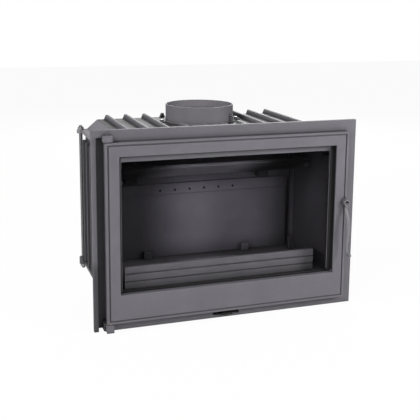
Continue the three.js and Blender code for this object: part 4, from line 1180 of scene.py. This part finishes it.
@dataclass
class LatchLever:
    """The hanging latch lever on its spindle, with the latch tongue behind the front frame."""

    hub_radius: float = 8.6 * MM
    hub_length: float = 10 * MM
    hub_edge: float = 2.2 * MM
    bore: float = 4.56 * MM
    bore_front: float = 0.5 * MM
    socket: float = 3.7 * MM
    socket_depth: float = 7 * MM
    socket_edge: float = 0.3 * MM
    spindle_edge: float = 0.5 * MM
    recess: float = 1 * MM
    cam_edge: float = 0.6 * MM
    nut_edge: float = 0.4 * MM
    dome_from: float = 0.955
    dome_run: float = 0.045
    dome_least: float = 0.0004
    # The lever's path along Y and Z from the hub's front, and its half sizes evenly along it, in mm.
    run: np.ndarray = field(default_factory=lambda: MM * np.array([
        (5, 0), (4.6, -8), (5.5, -17), (-4.5, -38), (-8.8, -60), (-9.2, -78), (-6.2, -98),
        (-3.8, -112), (-5.5, -125), (-14, -135), (-22, -137.6), (-27.5, -133.5),
    ]))
    width: tuple = (4.4, 4.2, 4.6, 5.2, 5.6, 5.6, 5.0, 4.2, 3.9, 4.1, 4.4, 4.2)
    depth: tuple = (4.0, 3.9, 3.6, 3.9, 4.3, 4.3, 3.8, 3.4, 3.4, 3.6, 3.9, 3.8)

    def build(self) -> None:
        """Builds and dresses the latch pieces."""
        surfaces = [self._lever(), self._hub()]
        surface_piece("latch_lever", surfaces, Finish.HANDLE, "handle", ("handle_lever",))
        surface_piece("latch_spindle", [self._spindle()], Finish.BLACKED, "handle", ("handle_spindle",))
        softened("latch_cam", Finish.ROD, self.cam_edge)
        softened("cam_nut", Finish.ZINC, self.nut_edge)

    def _hub_front(self) -> np.ndarray:
        """Returns the middle of the hub's front face."""
        low, high = corners("handle_spindle")
        return np.array([(low[0] + high[0]) / 2, low[1] - self.recess, (low[2] + high[2]) / 2])

    def _lever(self) -> Surface:
        """The lever: an oval carried down a bowed path that curls forward, closed in a dome at its tip.

        The dome multiplies the oval by the root of 1 less the square of the share of its run.

        Returns:
            The surface.
        """
        steps = 72
        flat = smooth_path(self.run, steps)
        path = self._hub_front() + np.stack([np.zeros(steps), flat[:, 0], flat[:, 1]], axis=1)
        place, knots = np.linspace(0, 1, steps), np.linspace(0, 1, len(self.width))
        share = np.clip((place - self.dome_from) / self.dome_run, 0, 1)
        dome = np.sqrt(np.clip(1 - share ** 2, self.dome_least, 1))
        wide = MM * np.interp(place, knots, self.width) * dome
        deep = MM * np.interp(place, knots, self.depth) * dome
        return Surface(swept(path, wide, deep, (1, 0, 0)), cap_ends=True)

    def _hub(self) -> Surface:
        """The hub: a ring with rounded rims, its profile turned about the spindle.

        Returns:
            The closed surface.
        """
        radius, edge, bore = self.hub_radius, self.hub_edge, self.bore
        profile = np.concatenate([
            [[bore, -self.bore_front]],
            arc((radius - edge, -edge), edge, 90, 0, steps=6),
            arc((radius - edge / 2, edge / 2 - self.hub_length), edge / 2, 0, -90, steps=4),
            [[bore, -self.hub_length]],
        ])
        ring = revolved(profile, Vector(self._hub_front()), Vector((0, -1, 0)))
        return Surface(ring, close_rows=True)

    def _spindle(self) -> Surface:
        """The spindle: a bar turned about Y with a round socket in its front end.

        Returns:
            The surface.
        """
        low, high = corners("handle_spindle")
        radius, length = float(high[0] - low[0]) / 2, float(high[1] - low[1])
        hole, rim, chamfer = self.socket, self.socket_edge, self.spindle_edge
        profile = np.array([
            (0.0, -self.socket_depth), (hole, -self.socket_depth), (hole, -rim), (hole + rim, 0.0),
            (radius - chamfer, 0.0), (radius, -chamfer), (radius, chamfer - length),
            (radius - chamfer, -length), (0.0, -length),
        ])
        front = Vector(((low[0] + high[0]) / 2, low[1], (low[2] + high[2]) / 2))
        return Surface(revolved(profile, front, Vector((0, -1, 0)), steps=32))


@dataclass
class Firebox:
    """The ribbed side and rear walls on the base, drawn together by two tie rods."""

    wall_edge: float = 1.9 * MM
    base_edge: float = 0.9 * MM
    base_weld: float = 0.35 * MM
    nut_edge: float = 0.7 * MM
    thread_pitch: float = 1.5 * MM
    thread_depth: float = 0.45 * MM
    thread_length: float = 24 * MM
    thread_steps: int = 5
    thread_fade: float = 0.2
    rod_sides: int = 20
    chamfer: float = 1 * MM
    chamfer_slope: float = 0.8

    def build(self) -> None:
        """Builds and dresses the shell of the firebox."""
        for node in ("side_wall_left", "side_wall_right", "rear_wall"):
            softened(node, Finish.WALL, self.wall_edge, segments=3)
        softened("base_casting", Finish.WALL, self.base_edge, weld=self.base_weld)
        for side in ("left", "right"):
            rod = f"tie_rod_{side}"
            surface_piece(f"{rod}_threaded", [self._rod(rod)], Finish.ROD, "shell", (rod,))
            for level in ("upper", "lower"):
                softened(f"tie_nut_{level}_{side}", Finish.ZINC, self.nut_edge)

    def _rod(self, node: str) -> Surface:
        """A rod whose radius dips by a triangle wave of height plus angle near its two ends.

        The dip fades by a power of the distance from the end, and a chamfer narrows the end itself.

        Args:
            node: The rod's solid.

        Returns:
            The surface.
        """
        low, high = corners(node)
        centre, radius = (low + high) / 2, float(high[0] - low[0]) / 2
        length = float(high[2] - low[2])
        ends = np.arange(0, self.thread_length, self.thread_pitch / self.thread_steps)
        height = np.concatenate([ends, length - ends[::-1]])
        angle = np.linspace(0, 2 * np.pi, self.rod_sides, endpoint=False)
        phase = (height[:, None] / self.thread_pitch + angle / (2 * np.pi)) % 1
        ridge = np.abs(2 * phase - 1)
        reach = np.minimum(height, length - height)[:, None]
        fade = np.clip(1 - reach / self.thread_length, 0, 1) ** self.thread_fade
        radius = radius - self.thread_depth * ridge * fade
        radius = radius - np.clip(self.chamfer - reach, 0, None) * self.chamfer_slope
        points = np.stack([
            centre[0] + radius * np.cos(angle), centre[1] + radius * np.sin(angle),
            np.broadcast_to(low[2] + height[:, None], radius.shape),
        ], axis=-1)
        return Surface(points, cap_ends=True)


@dataclass
class FlueTop:
    """The ribbed hood, the flue collar bolted on it, and the damper in the collar."""

    hood_edge: float = 1.6 * MM
    collar_edge: float = 1.0 * MM
    bolt_edge: float = 0.4 * MM
    disc_thickness: float = 3 * MM
    hub_radius: float = 7 * MM
    hub_length: float = 104 * MM
    hub_edge: float = 1 * MM
    hub_play: float = 0.1 * MM
    shaft_line: tuple = (math.sqrt(0.5), -math.sqrt(0.5), 0.0)
    shaft_radius: float = 4 * MM
    blind_end: float = 95.6 * MM
    crank_radius: float = 3 * MM
    crank_start: float = 102.6 * MM
    crank_drop: float = 15 * MM
    crank_foot: float = 12 * MM
    crank_bend: float = 4 * MM
    bend_steps: int = 9
    neck_start: float = 12 * MM
    neck_end: float = 8 * MM

    def build(self) -> None:
        """Builds and dresses the top of the insert."""
        softened("hood_plate", Finish.HOOD, self.hood_edge, segments=3, full=True)
        softened("flue_collar", Finish.COLLAR, self.collar_edge, segments=3, full=True)
        softened("collar_bolt_left", Finish.ZINC, self.bolt_edge)
        softened("collar_bolt_right", Finish.ZINC, self.bolt_edge)
        surface_piece("damper_disc", [self._disc(), self._hub()], Finish.PAINT, "damper", ("damper_plate",))
        surface_piece("damper_rod", [self._rod()], Finish.ROD, "damper", ("damper_shaft",))

    def _centre(self) -> np.ndarray:
        """Returns the middle of the damper."""
        low, high = corners("damper_plate")
        return (low + high) / 2

    def _disc(self) -> Surface:
        """The disc: a half-round rim and two flat faces, turned about the flue's axis.

        Returns:
            The surface.
        """
        low, high = corners("damper_plate")
        half, radius = self.disc_thickness / 2, float(high[0] - low[0]) / 2
        rim = arc((radius - half, 0.0), half, -90, 90, steps=9)
        profile = np.concatenate([[[0.0, -half]], rim, [[0.0, half]]])
        return Surface(revolved(profile, Vector(self._centre()), Vector((0, 0, 1)), steps=96))

    def _hub(self) -> Surface:
        """The hub: a tube on the disc whose ends are chamfered, turned about the shaft.

        Returns:
            The closed surface.
        """
        half, radius, chamfer = self.hub_length / 2, self.hub_radius, self.hub_edge
        bore = self.shaft_radius + self.hub_play
        profile = np.array([
            (bore, -half), (radius - chamfer, -half), (radius, chamfer - half),
            (radius, half - chamfer), (radius - chamfer, half), (bore, half),
        ])
        ring = revolved(profile, Vector(self._centre()), Vector(self.shaft_line), steps=32)
        return Surface(ring, close_rows=True)

    def _rod(self) -> Surface:
        """The shaft: a circle carried along its axis, then bent down and out as a crank.

        It narrows from the shaft's radius to the crank's over its neck, just before the first bend.

        Returns:
            The surface.
        """
        bend, drop, start = self.crank_bend, self.crank_drop, self.crank_start
        thick_to, slim_from = start - self.neck_start, start - self.neck_end
        quarter = np.linspace(0, math.pi / 2, self.bend_steps)
        flat = np.concatenate([
            [(-self.blind_end, 0.0), (0.0, 0.0), (thick_to, 0.0), (slim_from, 0.0)],
            np.stack([start - bend + bend * np.sin(quarter), bend * np.cos(quarter) - bend], axis=1),
            np.stack([start + bend - bend * np.cos(quarter), bend - drop - bend * np.sin(quarter)], axis=1),
            [(start + self.crank_foot, -drop)],
        ])
        path = self._centre() + flat[:, :1] * np.array(self.shaft_line) + flat[:, 1:] * np.array([0, 0, 1])
        middle = (thick_to + slim_from) / 2
        radius = np.where(flat[:, 0] < middle, self.shaft_radius, self.crank_radius)
        side = np.cross(self.shaft_line, (0, 0, 1))
        return Surface(swept(path, radius, radius, tuple(side)), cap_ends=True)


@dataclass
class FireBed:
    """The iron lining with its air rail, the baffle on its hooks, the grate and the log guard."""

    plate_edge: float = 1.5 * MM
    guard_edge: float = 1.3 * MM
    plates: tuple = (
        "side_liner_left", "side_liner_right", "back_liner_lower", "air_rail", "back_liner_upper", "grate",
    )
    hooks: tuple = ("baffle_hook_left", "baffle_hook_right")
    guards: tuple = ("log_guard", "guard_bracket_left", "guard_bracket_right")

    def build(self) -> None:
        """Builds and dresses the pieces round the fire."""
        for node in self.plates:
            softened(node, Finish.LINING, self.plate_edge)
        softened("baffle_plate", Finish.BAFFLE, self.plate_edge)
        for node in self.hooks:
            softened(node, Finish.HOOK, self.plate_edge)
        for node in self.guards:
            softened(node, Finish.GUARD, self.guard_edge)


@dataclass
class AshDrawer:
    """The ash box with its pan, and the air slider in its two guides."""

    box_edge: float = 1.2 * MM
    sheet_edge: float = 0.5 * MM
    sheets: tuple = ("ash_pan", "slider_guide_left", "slider_guide_right")

    def build(self) -> None:
        """Builds and dresses the ash and air pieces."""
        softened("ash_box", Finish.PAINT, self.box_edge, full=True)
        for node in self.sheets:
            softened(node, Finish.SHEET, self.sheet_edge)
        softened("air_slider", Finish.BLACKED, self.sheet_edge)


# ---- Studio ----


@dataclass
class Camera:
    """The photograph's camera: where it stands, where it looks and its lens.

    The photograph keeps uprights parallel, which takes a shifted lens. Only a small part of that
    shift is used, so that the insert stays inside the frame in other views, and a tilt does the rest.
    The place is in metres and the angles are in degrees.
    """

    place: tuple = (-0.6752, -1.9718, 0.7987)
    turn: float = 18.825
    tilt: float = 10.312
    roll: float = 0.484
    focal_pixels: float = 791.1
    frame_pixels: float = 420.0
    sensor: float = 36.0
    rise: float = -0.15

    def build(self) -> None:
        """Makes the camera and sets it as the scene's."""
        data = bpy.data.cameras.new("photo_camera")
        data.sensor_width = self.sensor
        data.lens = self.focal_pixels / self.frame_pixels * self.sensor
        data.shift_y = self.rise
        camera = bpy.data.objects.new("photo_camera", data)
        bpy.context.scene.collection.objects.link(camera)
        turn, tilt, roll = (math.radians(angle) for angle in (self.turn, self.tilt, self.roll))
        ahead = Vector((math.sin(turn) * math.cos(tilt), math.cos(turn) * math.cos(tilt), -math.sin(tilt)))
        level = Vector((math.cos(turn), -math.sin(turn), 0))
        above = level.cross(ahead)
        right = level * math.cos(roll) + above * math.sin(roll)
        up = above * math.cos(roll) - level * math.sin(roll)
        axes = Matrix((right, up, -ahead)).transposed()
        camera.matrix_world = Matrix.Translation(self.place) @ axes.to_4x4()
        bpy.context.scene.camera = camera


@dataclass
class Softbox:
    """A square area light that faces a point of the insert."""

    name: str
    place: tuple
    aim: tuple
    size: float
    power: float

    def build(self) -> None:
        """Makes the light."""
        data = bpy.data.lights.new(self.name, "AREA")
        data.size = self.size
        data.energy = self.power
        light = bpy.data.objects.new(self.name, data)
        bpy.context.scene.collection.objects.link(light)
        light.location = self.place
        ray = Vector(self.aim) - Vector(self.place)
        light.rotation_euler = ray.to_track_quat("-Z", "Y").to_euler()


@dataclass
class Studio:
    """A pale floor, a white surround and soft lights."""

    floor_half: float = 8.0
    floor_drop: float = 0.5 * MM
    floor_tone: tuple = (0.9, 0.9, 0.9)
    floor_glow: float = 0.95
    ambient: float = 0.12
    lights: tuple = (
        Softbox("key_light", place=(1.55, -1.55, 1.15), aim=(0.2, 0.0, 0.25), size=0.55, power=33.0),
        Softbox("front_light", place=(-0.3, -3.2, 1.5), aim=(0.0, 0.0, 0.25), size=1.0, power=15.0),
        Softbox("left_light", place=(-2.8, -2.6, 2.2), aim=(-0.1, 0.0, 0.3), size=1.2, power=66.0),
        Softbox("top_light", place=(-1.8, -0.2, 2.0), aim=(-0.3, 0.0, 0.5), size=0.8, power=31.0),
        Softbox("back_light", place=(1.2, 2.9, 1.7), aim=(0.0, 0.1, 0.3), size=1.5, power=60.0),
    )

    def build(self) -> None:
        """Makes the surround, the floor and the lights."""
        self._surround()
        self._floor()
        for light in self.lights:
            light.build()

    def _surround(self) -> None:
        """Sets the white background, the even light that comes from it, and plain colours."""
        world = bpy.data.worlds.new("white_surround")
        world.use_nodes = True
        tree = world.node_tree
        tree.nodes.clear()
        seen = tree.nodes.new("ShaderNodeLightPath").outputs["Is Camera Ray"]
        strength = tree.nodes.new("ShaderNodeMapRange")
        strength.inputs["To Min"].default_value = self.ambient
        strength.inputs["To Max"].default_value = 1.0
        tree.links.new(seen, strength.inputs["Value"])
        glow = tree.nodes.new("ShaderNodeBackground")
        tree.links.new(strength.outputs[0], glow.inputs["Strength"])
        glow.inputs["Color"].default_value = WHITE
        output = tree.nodes.new("ShaderNodeOutputWorld")
        tree.links.new(glow.outputs[0], output.inputs["Surface"])
        bpy.context.scene.world = world
        bpy.context.scene.view_settings.view_transform = "Standard"

    def _floor(self) -> None:
        """Makes the pale floor on which the insert stands."""
        half, level = self.floor_half, float(CAD_BOUNDS[0].z) - self.floor_drop
        mesh = bpy.data.meshes.new("pale_floor")
        mesh.from_pydata(
            [(-half, -half, level), (half, -half, level), (half, half, level), (-half, half, level)],
            [], [(0, 1, 2, 3)])
        floor = bpy.data.objects.new("pale_floor", mesh)
        bpy.context.scene.collection.objects.link(floor)
        graph = Graph("pale_floor")
        matte = graph.add("BsdfDiffuse", {"Color": rgba(self.floor_tone)})
        glow = graph.add("Emission", {"Color": WHITE, "Strength": 1.0})
        seen = graph.add("LightPath").outputs["Is Camera Ray"]
        share = graph.product(seen, self.floor_glow)
        mix = graph.add("MixShader", {0: share, 1: matte.outputs[0], 2: glow.outputs[0]})
        mesh.materials.append(graph.close(mix))


def main() -> None:
    """Builds the insert's sub-assemblies, then the studio round it."""
    logging.basicConfig(level=logging.INFO, format="%(message)s")
    for part in (
        Camera(), FrontFrame(), DoorLeaf(), Hinges(), LatchLever(),
        Firebox(), FlueTop(), FireBed(), AshDrawer(), Studio(),
    ):
        part.build()
        log.info("%s built", type(part).__name__)


if __name__ == "__main__":
    main()
